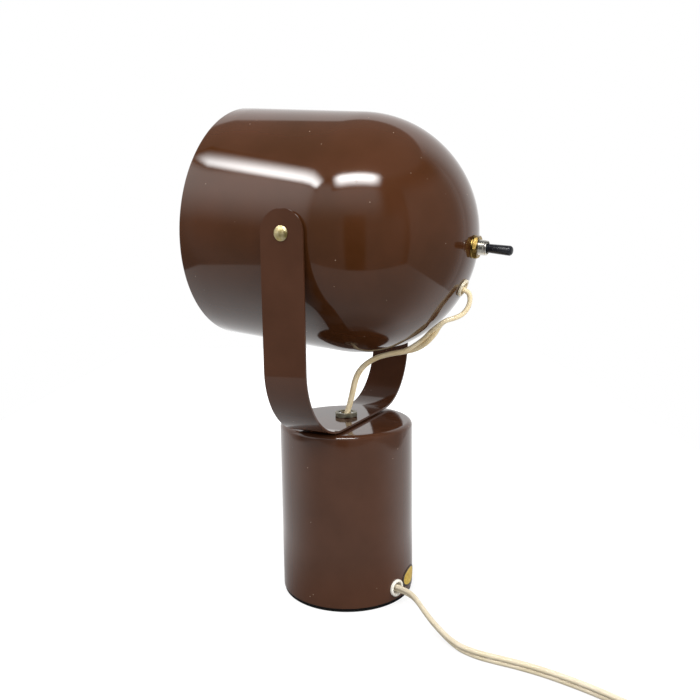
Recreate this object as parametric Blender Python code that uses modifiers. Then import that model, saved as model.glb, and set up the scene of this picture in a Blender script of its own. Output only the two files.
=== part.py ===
"""A spot table lamp: an enamelled shade tilts in a strip yoke that turns on a weighted round base.

Metres, +Z up. The origin is the centre of the base's underside. The shade's mouth faces -Y, and the
switch on its rear pole and the mains lead are towards +Y. The shade tilts about X.
"""
import math

import bmesh
import bpy
from mathutils import Vector

# Clearances, cuts and facets
GAP = 0.0003
OVERRUN = 0.004
EDGE_BREAK = 0.0003
WELD = 0.00001
LARGE_STEPS = 48
MEDIUM_STEPS = 24
SMALL_STEPS = 20
TINY_STEPS = 14
LABEL_STEPS = 120
OVAL_STEPS = 24
ARC_STEPS = 10
ROUND_STEPS = 3
ROUTE_SAMPLES = 16

# Base
BASE_RADIUS = 0.04445
BASE_HEIGHT = 0.1163
BASE_WALL = 0.0012
BASE_SHOULDER = 0.0032
PAD_THICKNESS = 0.0020
PAD_INSET = 0.0006
PLATE_THICKNESS = 0.0014
BALLAST_HEIGHT = 0.030
BALLAST_CHAMFER = 0.001
POCKET_RADIUS = 0.013
POCKET_DEPTH = 0.020
CHANNEL_CLEARANCE = 0.0006

# Lamp pipe and its nuts
PIPE_RADIUS = 0.00485
PIPE_BORE = 0.00355
PIPE_NUT_FLATS = 0.0143
PIPE_NUT_HEIGHT = 0.0030
YOKE_NUT_HEIGHT = 0.0026
YOKE_NUT_RECESS = 0.0006
STACK_WASHER_RADIUS = 0.015
STACK_WASHER_THICKNESS = 0.0010
SWIVEL_WASHER_RADIUS = 0.012
SWIVEL_WASHER_THICKNESS = 0.0004

# Grommets, alike in the base and in the shade
GROMMET_BORE = 0.0038
GROMMET_RADIUS = 0.0056
GROMMET_INNER_RADIUS = 0.0053
GROMMET_NECK = 0.0046
GROMMET_PROUD = 0.0013
GROMMET_INNER_FLANGE = 0.0012
BASE_GROMMET_HEIGHT = 0.0103
BASE_GROMMET_AZIMUTH = math.radians(18.8)
SHADE_GROMMET_ANGLE = math.radians(19.5)

# Label on the base
LABEL_LENGTH = 0.0212
LABEL_HEIGHT = 0.0128
LABEL_THICKNESS = 0.0003
LABEL_CENTRE_HEIGHT = 0.0121
LABEL_AZIMUTH = math.radians(-3.4)

# Yoke
YOKE_WIDTH = 0.0278
YOKE_THICKNESS = 0.0013
YOKE_BEND = 0.0448
YOKE_RISE = 0.1233
SPACER_THICKNESS = 0.0008

# Pivot screws
PIVOT_RADIUS = 0.0023
PIVOT_HEAD_RADIUS = 0.0044
PIVOT_HEAD_HEIGHT = 0.0019
PIVOT_HEAD_EDGE = 0.0003
PIVOT_WASHER_RADIUS = 0.0060
PIVOT_WASHER_THICKNESS = 0.0008
PIVOT_NUT_FLATS = 0.0080
PIVOT_NUT_HEIGHT = 0.0032
PIVOT_THREAD_PROUD = 0.0006

# Shade: measured along its own axis from the pivot, rearwards
SHADE_RADIUS = 0.0758
SHADE_WALL = 0.0010
SHADE_FRONT = 0.0733
SHADE_DOME_CENTRE = 0.0120
SHADE_RIM_RADIUS = 0.0009
SHADE_TILT = math.radians(6.04)

# Switch on the shade's rear pole
BUSHING_RADIUS = 0.00465
BUSHING_BORE = 0.0035
BUSHING_MOUTH = 0.0040
BUSHING_FLARE = 0.0022
BUSHING_PROUD = 0.0086
SWITCH_NUT_FLATS = 0.0127
SWITCH_NUT_HEIGHT = 0.0025
SWITCH_WASHER_RADIUS = 0.0070
SWITCH_WASHER_THICKNESS = 0.0005
SWITCH_WIDTH = 0.0175
SWITCH_TALL = 0.024
SWITCH_DEPTH = 0.022
SWITCH_EDGE = 0.0010
SWITCH_CAVITY_RADIUS = 0.0041
SWITCH_CAVITY_DEPTH = 0.009
LEVER_BALL_RADIUS = 0.0031
LEVER_BALL_DEPTH = 0.0032
LEVER_LENGTH = 0.0193
LEVER_ROOT_RADIUS = 0.0027
LEVER_TIP_RADIUS = 0.0030
LEVER_TIP_ROUND = 0.0016
LEVER_TAIL_RADIUS = 0.0012
LEVER_TAIL_LENGTH = 0.0110
LEVER_THROW = math.radians(12.0)

# Bracket, socket and bulb inside the shade
BRACKET_THICKNESS = 0.0012
BRACKET_WIDTH = 0.016
BRACKET_SIDE_GAP = 0.0015
TERMINAL_ROOM = 0.009
SOCKET_RADIUS = 0.0185
SOCKET_LENGTH = 0.034
SOCKET_FLOOR = 0.006
SOCKET_RIM = 0.0010
SCREW_SHELL_RADIUS = 0.0141
SCREW_SHELL_WALL = 0.0006
SCREW_SHELL_LENGTH = 0.025
CONTACT_RADIUS = 0.0040
CONTACT_THICKNESS = 0.0008
SOCKET_SCREW_RADIUS = 0.0015
SOCKET_SCREW_HEAD = 0.0028
SOCKET_SCREW_HEAD_HEIGHT = 0.0018
SOCKET_SCREW_LENGTH = 0.0055
SOCKET_SCREW_SPACING = 0.011
BULB_LENGTH = 0.105
BULB_RADIUS = 0.030
BULB_WALL = 0.0010
BULB_NECK_ANGLE = math.radians(128.0)
BULB_NECK_INSERT = 0.009
BULB_NECK_STEPS = 4
BULB_BALL_STEPS = 7
CAP_RADIUS = 0.0130
CAP_WALL = 0.0006
CAP_LENGTH = 0.023
CAP_NOSE_RADIUS = 0.0045
CAP_NOSE_LENGTH = 0.0035
WIRE_RADIUS = 0.0012
WIRE_SPREAD = 0.0017

# Flex and mains lead: a flat twin cord, drawn here as a round tube between its width and its thickness
CORD_WIDTH = 0.0060
CORD_TUBE_RADIUS = 0.0021
CORD_STEP = 0.0095
FLEX_STEP = 0.0055
INNER_STEP = 0.0075
INNER_RUN_SHARES = (1.0, 0.75, 0.5)
INNER_BEND_SHARES = ((1.0, 0.08), (0.55, 0.32), (0.16, 0.75))
LEAD_STOP_LENGTH = 0.005
LEAD_STOP_RADIUS = 0.0050

# Coil of the lead's unseen length, its tie and its plug
COIL_CENTRE = (0.130, 0.206)
COIL_MEAN_RADIUS = 0.0334
COIL_TURNS = 7 + 160 / 360
COIL_START = math.radians(130.0)
COIL_PITCH = 0.0049
COIL_LAYER_STEP = 0.0064
COIL_POINTS_PER_TURN = 24
TAIL_LENGTH = 0.034
TAIL_SLOPE_SHARES = (0.15, 0.30, 0.45, 0.60, 0.75, 0.87)
TIE_ANGLE = math.radians(50.0)
TIE_WIDTH = 0.005
TIE_THICKNESS = 0.0006
PLUG_LENGTH = 0.030
PLUG_WIDTH = 0.024
PLUG_THICKNESS = 0.0130
PLUG_NECK_LENGTH = 0.012
PLUG_NECK_WIDTH = 0.0085
PLUG_CORNER = 0.004
PLUG_EDGE = 0.0016
BLADE_LENGTH = 0.0170
BLADE_WIDTH = 0.0064
BLADE_THICKNESS = 0.0015
BLADE_SPACING = 0.0127
BLADE_SEAT = 0.005
BLADE_HOLE = 0.0015
BLADE_HOLE_INSET = 0.0035

# Worked out from the sizes above: heights in the base and the yoke
SHELL_FOOT = PAD_THICKNESS + GAP
PLATE_TOP = SHELL_FOOT + PLATE_THICKNESS
BALLAST_FOOT = PLATE_TOP + GAP
BALLAST_TOP = BALLAST_FOOT + BALLAST_HEIGHT
POCKET_TOP = BALLAST_FOOT + POCKET_DEPTH
BASE_INNER = BASE_RADIUS - BASE_WALL
BASE_BOW = BASE_INNER - math.sqrt(BASE_INNER**2 - GROMMET_INNER_RADIUS**2)
BASE_GROMMET_DEPTH = BASE_WALL + BASE_BOW + GAP + GROMMET_INNER_FLANGE
SWIVEL_WASHER_FOOT = BASE_HEIGHT + GAP
YOKE_FOOT = SWIVEL_WASHER_FOOT + SWIVEL_WASHER_THICKNESS + GAP
PIPE_TOP = YOKE_FOOT + YOKE_THICKNESS + GAP + YOKE_NUT_HEIGHT - YOKE_NUT_RECESS
PIPE_FOOT = POCKET_TOP + GAP
PIPE_CLEAR = PIPE_RADIUS + GAP
PIVOT_HEIGHT = YOKE_FOOT + YOKE_RISE
YOKE_INNER = SHADE_RADIUS + SPACER_THICKNESS + 2 * GAP
YOKE_OUTER = YOKE_INNER + YOKE_THICKNESS
PIVOT_CLEAR = PIVOT_RADIUS + GAP

# Worked out: places along the shade's axis, rearwards from the pivot
POLE = SHADE_DOME_CENTRE + SHADE_RADIUS
SHADE_INNER = SHADE_RADIUS - SHADE_WALL
SHADE_BOW = SHADE_INNER - math.sqrt(SHADE_INNER**2 - GROMMET_INNER_RADIUS**2)
SHADE_GROMMET_DEPTH = SHADE_WALL + SHADE_BOW + GAP + GROMMET_INNER_FLANGE
BUSHING_CLEAR = BUSHING_RADIUS + GAP
BUSHING_END = POLE + BUSHING_PROUD
LEVER_BALL = BUSHING_END - LEVER_BALL_DEPTH
BRACKET_REACH = SWITCH_WIDTH / 2 + BRACKET_SIDE_GAP + BRACKET_THICKNESS
BRACKET_CORNER = math.hypot(BRACKET_REACH, BRACKET_WIDTH / 2)
BRACKET_BACK = SHADE_DOME_CENTRE + math.sqrt(SHADE_INNER**2 - BRACKET_CORNER**2) - GAP
SWITCH_BACK = BRACKET_BACK - BRACKET_THICKNESS - GAP
SWITCH_FRONT = SWITCH_BACK - SWITCH_DEPTH
BRACKET_FRONT = SWITCH_FRONT - TERMINAL_ROOM
SOCKET_BACK = BRACKET_FRONT - BRACKET_THICKNESS - GAP
SOCKET_FRONT = SOCKET_BACK - SOCKET_LENGTH
SOCKET_BED = SOCKET_BACK - SOCKET_FLOOR
CONTACT_FRONT = SOCKET_BED - GAP - CONTACT_THICKNESS
BULB_TAIL = CONTACT_FRONT - GAP
CAP_SHOULDER = BULB_TAIL - CAP_NOSE_LENGTH
CAP_MOUTH = CAP_SHOULDER - CAP_LENGTH
BULB_TIP = BULB_TAIL - BULB_LENGTH
SCREW_CLEAR = SOCKET_SCREW_RADIUS + GAP
GROMMET_HOLE = GROMMET_NECK + GAP

# Worked out: the coil
COIL_HALF_SPAN = COIL_PITCH * COIL_TURNS / 4
COIL_INNER = COIL_MEAN_RADIUS - COIL_HALF_SPAN
COIL_LOW = TIE_THICKNESS + GAP + CORD_WIDTH / 2
COIL_HIGH = COIL_LOW + COIL_LAYER_STEP
PLUG_HEIGHT = PLUG_THICKNESS / 2 + GAP

# The cord's route, point by point: the jumper flex from the pipe's mouth into the shade's grommet
FLEX_ROUTE = [
    (0.0000, 0.0000, 0.1080),
    (0.0000, 0.0000, 0.1120),
    (0.0000, 0.0000, 0.1160),
    (0.0000, 0.0008, 0.1205),
    (0.0000, 0.0028, 0.1270),
    (0.0000, 0.0050, 0.1350),
    (0.0000, 0.0073, 0.1438),
    (0.0002, 0.0107, 0.1503),
    (0.0005, 0.0162, 0.1557),
    (0.0008, 0.0238, 0.1601),
    (0.0012, 0.0330, 0.1630),
    (0.0018, 0.0428, 0.1653),
    (0.0026, 0.0501, 0.1681),
    (0.0038, 0.0574, 0.1728),
    (0.0055, 0.0630, 0.1782),
    (0.0072, 0.0680, 0.1834),
    (0.0076, 0.0724, 0.1867),
    (0.0052, 0.0771, 0.1883),
    (0.0018, 0.0810, 0.1904),
    (-0.0004, 0.0838, 0.1944),
    (-0.0010, 0.0850, 0.1990),
    (-0.0006, 0.0845, 0.2030),
    (0.0000, 0.0822, 0.2050),
    (0.0000, 0.0797, 0.2064),
    (0.0000, 0.0782, 0.2070),
]

# The mains lead from the base's grommet, down to the table and away to the coil
LEAD_ROUTE = [
    (0.01380, 0.04060, 0.0103),
    (0.01520, 0.04450, 0.0103),
    (0.01650, 0.04850, 0.0103),
    (0.01780, 0.05220, 0.0101),
    (0.01990, 0.05630, 0.0095),
    (0.02360, 0.06080, 0.0087),
    (0.02890, 0.06630, 0.0074),
    (0.03550, 0.07350, 0.0058),
    (0.04220, 0.08170, 0.0043),
    (0.04880, 0.09020, 0.0034),
    (0.05380, 0.09880, 0.0030),
    (0.05640, 0.10850, 0.0030),
    (0.05700, 0.11830, 0.0030),
    (0.05710, 0.13220, 0.0030),
    (0.05820, 0.14610, 0.0030),
    (0.06060, 0.15980, 0.0030),
    (0.06370, 0.17290, 0.0030),
    (0.06750, 0.18500, 0.0030),
    (0.07250, 0.19800, 0.0031),
    (0.07960, 0.21150, 0.0033),
    (0.08820, 0.22430, 0.0036),
]


def make_finish(name, hex_colour, roughness, metallic=0.0, alpha=1.0):
    """A Principled material from an sRGB hex colour."""
    channels = [int(hex_colour[i : i + 2], 16) / 255 for i in (1, 3, 5)]
    linear = [c / 12.92 if c <= 0.04045 else ((c + 0.055) / 1.055) ** 2.4 for c in channels]
    material = bpy.data.materials.new(name)
    material.use_nodes = True
    shader = material.node_tree.nodes["Principled BSDF"]
    shader.inputs["Base Color"].default_value = (*linear, 1.0)
    shader.inputs["Roughness"].default_value = roughness
    shader.inputs["Metallic"].default_value = metallic
    shader.inputs["Alpha"].default_value = alpha
    material.diffuse_color = (*linear, alpha)
    return material


def new_collection(name):
    collection = bpy.data.collections.new(name)
    bpy.context.scene.collection.children.link(collection)
    return collection


def add_object(name, data, finish=None, parent=None, location=(0, 0, 0), rotation=(0, 0, 0)):
    """Put mesh or curve data in the lamp's collection, or a cutter's when it has no finish."""
    thing = bpy.data.objects.new(name, data)
    home = bpy.data.collections["table_lamp" if finish or data is None else "cutters"]
    home.objects.link(thing)
    thing.parent = parent
    thing.location = location
    thing.rotation_euler = rotation
    if finish:
        data.materials.append(finish)
    elif data is not None:
        thing.hide_render = True
        thing.display_type = "WIRE"
    return thing


def arc(centre, radius, start, end, steps=ROUND_STEPS):
    """Points on an arc in the profile's plane, angles in degrees from its first axis."""
    points = []
    for k in range(steps + 1):
        angle = math.radians(start + (end - start) * k / steps)
        points.append((centre[0] + radius * math.cos(angle), centre[1] + radius * math.sin(angle)))
    return points


def turned(name, profile, finish=None, closed=True, steps=SMALL_STEPS, **place):
    """A profile of (radius, height) points turned about its own Z axis. An open one ends on the axis."""
    mesh = bpy.data.meshes.new(name)
    count = len(profile)
    edges = [(k, k + 1) for k in range(count - 1)]
    if closed:
        edges.append((count - 1, 0))
    mesh.from_pydata([(r, 0, z) for r, z in profile], edges, [])
    thing = add_object(name, mesh, finish, **place)
    screw = thing.modifiers.new("turn", "SCREW")
    screw.steps = steps
    screw.render_steps = steps
    screw.use_merge_vertices = True
    screw.merge_threshold = WELD
    screw.use_smooth_shade = True
    return thing


def washer(name, inner, outer, low, high, finish, steps=SMALL_STEPS, **place):
    profile = [(inner, high), (outer, high), (outer, low), (inner, low)]
    return turned(name, profile, finish, steps=steps, **place)


def rod_cutter(name, radius, low, high, steps=SMALL_STEPS, **place):
    profile = [(0, high), (radius, high), (radius, low), (0, low)]
    return turned(name, profile, closed=False, steps=steps, **place)


def block(name, low, high, finish=None, **place):
    """A box between two corners."""
    shape = bmesh.new()
    bmesh.ops.create_cube(shape, size=1)
    for vertex in shape.verts:
        vertex.co = [a + (b - a) * (c + 0.5) for a, b, c in zip(low, high, vertex.co)]
    mesh = bpy.data.meshes.new(name)
    shape.to_mesh(mesh)
    shape.free()
    return add_object(name, mesh, finish, **place)


def combine(thing, tool, operation):
    modifier = thing.modifiers.new(tool.name, "BOOLEAN")
    modifier.operation = operation
    modifier.solver = "EXACT"
    modifier.object = tool


def plate(name, outlines, half_thickness, finish=None, **place):
    """A flat outline, with any holes as further outlines, filled and given its thickness."""
    curve = bpy.data.curves.new(name, "CURVE")
    curve.dimensions = "2D"
    curve.fill_mode = "BOTH"
    curve.extrude = half_thickness
    for outline in outlines:
        spline = curve.splines.new("POLY")
        spline.points.add(len(outline) - 1)
        for point, (x, y) in zip(spline.points, outline):
            point.co = (x, y, 0, 1)
        spline.use_cyclic_u = True
    return meshed(name, add_object(name, curve, finish, **place), finish)


def meshed(name, drawn, finish):
    """The welded mesh of a curve object, in its place, so that it can be cut and bevelled."""
    bpy.context.view_layer.update()
    evaluated = drawn.evaluated_get(bpy.context.evaluated_depsgraph_get())
    mesh = bpy.data.meshes.new_from_object(evaluated)
    shape = bmesh.new()
    shape.from_mesh(mesh)
    bmesh.ops.remove_doubles(shape, verts=shape.verts, dist=WELD)
    shape.to_mesh(mesh)
    shape.free()
    parent, place = drawn.parent, drawn.matrix_world.copy()
    bpy.data.objects.remove(drawn)
    mesh.materials.clear()
    thing = add_object(name, mesh, finish, parent=parent)
    thing.matrix_world = place
    return thing


def soften(thing, width, segments=1):
    bevel = thing.modifiers.new("edges", "BEVEL")
    bevel.width = width
    bevel.segments = segments
    bevel.limit_method = "ANGLE"
    bevel.angle_limit = math.radians(40)


def tube(name, points, radius, finish, resolution=2, **place):
    """A round cord or wire along a line of points."""
    curve = bpy.data.curves.new(name, "CURVE")
    curve.dimensions = "3D"
    curve.bevel_depth = radius
    curve.bevel_resolution = resolution
    curve.use_fill_caps = True
    spline = curve.splines.new("POLY")
    spline.points.add(len(points) - 1)
    for point, spot in zip(spline.points, points):
        point.co = (*spot, 1)
    return add_object(name, curve, finish, **place)


def smooth_route(route, step):
    """Even points along the smooth curve through a route's own points."""
    route = [Vector(p) for p in route]
    ends = [2 * route[0] - route[1], *route, 2 * route[-1] - route[-2]]
    fine = []
    for a, b, c, d in zip(ends, ends[1:], ends[2:], ends[3:]):
        for k in range(ROUTE_SAMPLES):
            t = k / ROUTE_SAMPLES
            fine.append(0.5 * (2 * b + (c - a) * t + (2 * a - 5 * b + 4 * c - d) * t**2
                               + (3 * b - a - 3 * c + d) * t**3))
    fine.append(route[-1])
    along = [0.0]
    for a, b in zip(fine, fine[1:]):
        along.append(along[-1] + (b - a).length)
    count = max(2, round(along[-1] / step))
    points = []
    place = 0
    for k in range(count + 1):
        want = along[-1] * k / count
        while place < len(fine) - 2 and along[place + 1] < want:
            place += 1
        share = (want - along[place]) / (along[place + 1] - along[place])
        points.append(tuple(fine[place].lerp(fine[place + 1], min(share, 1.0))))
    return points


def hex_nut(name, flats, low, high, bore, finish, **place):
    """A hexagonal nut with chamfered corners, two of which point along its own Y axis."""
    slope = math.radians(30)
    corner = flats / 2 / math.cos(slope)
    shape = bmesh.new()
    bmesh.ops.create_cone(
        shape, cap_ends=True, segments=6, radius1=corner, radius2=corner, depth=high - low)
    bmesh.ops.translate(shape, verts=shape.verts, vec=(0, 0, (high + low) / 2))
    mesh = bpy.data.meshes.new(name)
    shape.to_mesh(mesh)
    shape.free()
    nut = add_object(name, mesh, finish, **place)
    reach = corner + EDGE_BREAK
    fall = (reach - flats / 2) * math.tan(slope)
    lens = [(0, high), (flats / 2, high), (reach, high - fall), (reach, low + fall), (flats / 2, low),
            (0, low)]
    combine(nut, turned(name + "_chamfer", lens, closed=False, **place), "INTERSECT")
    combine(nut, rod_cutter(name + "_bore", bore, low - OVERRUN, high + OVERRUN, **place), "DIFFERENCE")


def grommet(name, depth, finish, **place):
    """A soft ring round a cord hole. Its own Z points out of the wall, from the wall's outer face."""
    inside = GROMMET_INNER_FLANGE - depth
    profile = [(GROMMET_BORE + EDGE_BREAK, GAP + GROMMET_PROUD)]
    roundness = min(GROMMET_PROUD, (GROMMET_RADIUS - GROMMET_BORE) / 2)
    profile += arc((GROMMET_RADIUS - roundness, GAP + GROMMET_PROUD - roundness), roundness, 90, 0)
    profile += [
        (GROMMET_RADIUS, GAP),
        (GROMMET_NECK, GAP),
        (GROMMET_NECK, inside),
        (GROMMET_INNER_RADIUS, inside),
        (GROMMET_INNER_RADIUS, -depth),
        (GROMMET_BORE, -depth),
        (GROMMET_BORE, GAP + GROMMET_PROUD - EDGE_BREAK),
    ]
    return turned(name, profile, finish, **place)


def outward(azimuth):
    """The turn that points a piece's own Z outwards from the base at an azimuth from +Y towards +X."""
    return (math.radians(90), 0, math.radians(180) - azimuth)


def build_base(finishes):
    """The shell, what closes and weights it, and the pipe that ties it to the yoke."""
    corner = (BASE_RADIUS - BASE_SHOULDER, BASE_HEIGHT - BASE_SHOULDER)
    profile = [(PIPE_CLEAR, BASE_HEIGHT)]
    profile += arc(corner, BASE_SHOULDER, 90, 0, 2 * ROUND_STEPS)
    profile += [(BASE_RADIUS, SHELL_FOOT), (BASE_INNER, SHELL_FOOT)]
    profile += arc(corner, BASE_SHOULDER - BASE_WALL, 0, 90)
    profile += [(PIPE_CLEAR, BASE_HEIGHT - BASE_WALL)]
    shell = turned("base_shell", profile, finishes["enamel"], steps=LARGE_STEPS)

    face = (BASE_RADIUS * math.sin(BASE_GROMMET_AZIMUTH), BASE_RADIUS * math.cos(BASE_GROMMET_AZIMUTH),
            BASE_GROMMET_HEIGHT)
    turn = outward(BASE_GROMMET_AZIMUTH)
    hole = rod_cutter("lead_hole", GROMMET_HOLE, -BASE_WALL - OVERRUN, OVERRUN, location=face, rotation=turn)
    combine(shell, hole, "DIFFERENCE")
    grommet("base_grommet", BASE_GROMMET_DEPTH, finishes["ivory"], location=face, rotation=turn)

    pad_radius = BASE_RADIUS - PAD_INSET
    turned("base_pad", [(0, PAD_THICKNESS), (pad_radius, PAD_THICKNESS), (pad_radius, 0), (0, 0)],
           finishes["felt"], closed=False, steps=LARGE_STEPS)
    plate_radius = BASE_INNER - GAP
    turned("bottom_plate", [(0, PLATE_TOP), (plate_radius, PLATE_TOP), (plate_radius, SHELL_FOOT),
                            (0, SHELL_FOOT)], finishes["steel"], closed=False, steps=LARGE_STEPS)
    build_ballast(finishes)

    washer("lamp_pipe", PIPE_BORE, PIPE_RADIUS, PIPE_FOOT, PIPE_TOP, finishes["nickel"])
    low = BALLAST_TOP + GAP
    hex_nut("ballast_locknut", PIPE_NUT_FLATS, low, low + PIPE_NUT_HEIGHT, PIPE_CLEAR, finishes["steel"])
    top = BASE_HEIGHT - BASE_WALL - GAP
    washer("clamp_washer", PIPE_CLEAR, STACK_WASHER_RADIUS, top - STACK_WASHER_THICKNESS, top,
           finishes["steel"])
    top -= STACK_WASHER_THICKNESS + GAP
    hex_nut("clamp_nut", PIPE_NUT_FLATS, top - PIPE_NUT_HEIGHT, top, PIPE_CLEAR, finishes["steel"])
    washer("swivel_washer", PIPE_CLEAR, SWIVEL_WASHER_RADIUS, SWIVEL_WASHER_FOOT,
           SWIVEL_WASHER_FOOT + SWIVEL_WASHER_THICKNESS, finishes["fibre"])
    build_label(finishes)


def build_ballast(finishes):
    """An iron ring on the bottom plate, with a pocket and a channel for the lead."""
    outer = BASE_INNER - GAP
    profile = [
        (PIPE_CLEAR, BALLAST_TOP),
        (outer - BALLAST_CHAMFER, BALLAST_TOP),
        (outer, BALLAST_TOP - BALLAST_CHAMFER),
        (outer, BALLAST_FOOT),
        (POCKET_RADIUS, BALLAST_FOOT),
        (POCKET_RADIUS, POCKET_TOP),
        (PIPE_CLEAR, POCKET_TOP),
    ]
    ballast = turned("ballast", profile, finishes["iron"], steps=LARGE_STEPS)
    half = GROMMET_INNER_RADIUS + CHANNEL_CLEARANCE
    channel = block("lead_channel", (-half, 0, BALLAST_FOOT - OVERRUN),
                    (half, BASE_RADIUS + OVERRUN, BASE_GROMMET_HEIGHT + half),
                    rotation=(0, 0, -BASE_GROMMET_AZIMUTH))
    combine(ballast, channel, "DIFFERENCE")


def build_label(finishes):
    """A thin oval of foil that follows the base's curve."""
    inner = BASE_RADIUS + GAP
    label = washer("base_label", inner, inner + LABEL_THICKNESS, 0, BASE_HEIGHT / 2, finishes["foil"],
                   steps=LABEL_STEPS)
    ring = arc((0, 0), 1, 0, 360, OVAL_STEPS)[1:]
    oval = [(LABEL_LENGTH / 2 * x, LABEL_HEIGHT / 2 * y) for x, y in ring]
    centre = (BASE_RADIUS * math.sin(LABEL_AZIMUTH), BASE_RADIUS * math.cos(LABEL_AZIMUTH),
              LABEL_CENTRE_HEIGHT)
    stamp = plate("label_outline", [oval], OVERRUN, location=centre, rotation=outward(LABEL_AZIMUTH))
    combine(label, stamp, "INTERSECT")


def build_yoke(finishes, frame):
    """The bent strip with its round arm ends, and the nut on the lamp pipe."""
    top = YOKE_RISE + YOKE_WIDTH
    bend = (YOKE_OUTER - YOKE_BEND, YOKE_BEND)
    outer = [(YOKE_OUTER, top)] + arc(bend, YOKE_BEND, 0, -90, ARC_STEPS)
    inner = [(YOKE_INNER, top)] + arc(bend, YOKE_BEND - YOKE_THICKNESS, 0, -90, ARC_STEPS)
    left_outer = [(-x, z) for x, z in outer[::-1]]
    left_inner = [(-x, z) for x, z in inner]
    outline = outer + left_outer + left_inner + inner[::-1]
    strip = plate("yoke", [outline], YOKE_WIDTH / 2, finishes["enamel"], parent=frame,
                  rotation=(math.radians(90), 0, 0))
    side = [(YOKE_WIDTH / 2, -OVERRUN)] + arc((0, YOKE_RISE), YOKE_WIDTH / 2, 0, 180, 2 * ARC_STEPS)
    side += [(-YOKE_WIDTH / 2, -OVERRUN)]
    ends = plate("yoke_side_outline", [side], YOKE_OUTER + OVERRUN, parent=frame,
                 rotation=(math.radians(90), 0, math.radians(90)))
    combine(strip, ends, "INTERSECT")
    nut_foot = YOKE_THICKNESS + GAP
    combine(strip, rod_cutter("yoke_pipe_hole", PIPE_CLEAR, -OVERRUN, nut_foot + OVERRUN, parent=frame),
            "DIFFERENCE")
    pivots = rod_cutter("yoke_pivot_holes", PIVOT_CLEAR, -YOKE_OUTER - OVERRUN, YOKE_OUTER + OVERRUN,
                        parent=frame, location=(0, 0, YOKE_RISE), rotation=(0, math.radians(90), 0))
    combine(strip, pivots, "DIFFERENCE")
    hex_nut("yoke_nut", PIPE_NUT_FLATS, nut_foot, nut_foot + YOKE_NUT_HEIGHT, PIPE_CLEAR,
            finishes["nickel"], parent=frame)


def build_pivot(word, side, finishes, yoke_frame, shade_frame):
    """One pivot: its screw and spacer on the yoke's arm, its washer and nut inside the shade."""
    sideways = (0, math.radians(90 * side), 0)
    on_yoke = {"parent": yoke_frame, "location": (0, 0, YOKE_RISE), "rotation": sideways}
    on_shade = {"parent": shade_frame, "rotation": sideways}
    inside = math.sqrt(SHADE_INNER**2 - PIVOT_WASHER_RADIUS**2) - GAP
    nut_top = inside - PIVOT_WASHER_THICKNESS - GAP
    nut_low = nut_top - PIVOT_NUT_HEIGHT
    seat = YOKE_OUTER + GAP
    rise = PIVOT_HEAD_HEIGHT - PIVOT_HEAD_EDGE
    ball = (PIVOT_HEAD_RADIUS**2 + rise**2) / (2 * rise)
    spread = math.degrees(math.asin(PIVOT_HEAD_RADIUS / ball))
    dome = arc((0, seat + PIVOT_HEAD_HEIGHT - ball), ball, 90, 90 - spread, ROUND_STEPS)
    profile = [(0, seat + PIVOT_HEAD_HEIGHT)] + dome[1:]
    profile += [
        (PIVOT_HEAD_RADIUS, seat),
        (PIVOT_RADIUS, seat),
        (PIVOT_RADIUS, nut_low - PIVOT_THREAD_PROUD),
        (0, nut_low - PIVOT_THREAD_PROUD),
    ]
    turned(f"pivot_screw_{word}", profile, finishes["brass"], closed=False, **on_yoke)
    spacer_low = SHADE_RADIUS + GAP
    washer(f"pivot_spacer_{word}", PIVOT_CLEAR, PIVOT_WASHER_RADIUS, spacer_low,
           spacer_low + SPACER_THICKNESS, finishes["fibre"], **on_yoke)
    washer(f"pivot_washer_{word}", PIVOT_CLEAR, PIVOT_WASHER_RADIUS, inside - PIVOT_WASHER_THICKNESS,
           inside, finishes["steel"], **on_shade)
    hex_nut(f"pivot_nut_{word}", PIVOT_NUT_FLATS, nut_low, nut_top, PIVOT_CLEAR, finishes["steel"],
            **on_shade)


def build_shade(finishes, frame):
    """The shade's shell with its four holes, and the grommet for the flex."""
    middle = (0, SHADE_DOME_CENTRE)
    outer_start = math.degrees(math.acos(BUSHING_CLEAR / SHADE_RADIUS))
    inner_start = math.degrees(math.acos(BUSHING_CLEAR / SHADE_INNER))
    rim = (SHADE_RADIUS - SHADE_RIM_RADIUS, SHADE_RIM_RADIUS - SHADE_FRONT)
    meet = math.degrees(math.acos(min(1.0, (SHADE_RIM_RADIUS - SHADE_WALL) / SHADE_RIM_RADIUS)))
    profile = arc(middle, SHADE_RADIUS, outer_start, 0, ARC_STEPS)
    profile += arc(rim, SHADE_RIM_RADIUS, 0, meet - 360, 2 * ROUND_STEPS)
    profile += arc(middle, SHADE_INNER, 0, inner_start, ARC_STEPS)
    shell = turned("shade_shell", profile, finishes["enamel"], steps=LARGE_STEPS, parent=frame)
    pivots = rod_cutter("shade_pivot_holes", PIVOT_CLEAR, -SHADE_RADIUS - OVERRUN, SHADE_RADIUS + OVERRUN,
                        parent=frame, rotation=(0, math.radians(90), 0))
    combine(shell, pivots, "DIFFERENCE")

    down = SHADE_RADIUS * math.sin(SHADE_GROMMET_ANGLE)
    back = SHADE_DOME_CENTRE + SHADE_RADIUS * math.cos(SHADE_GROMMET_ANGLE)
    place = {"parent": frame, "location": (0, down, back), "rotation": (-SHADE_GROMMET_ANGLE, 0, 0)}
    combine(shell, rod_cutter("flex_hole", GROMMET_HOLE, -OVERRUN, OVERRUN, **place), "DIFFERENCE")
    grommet("shade_grommet", SHADE_GROMMET_DEPTH, finishes["ivory"], **place)


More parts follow.
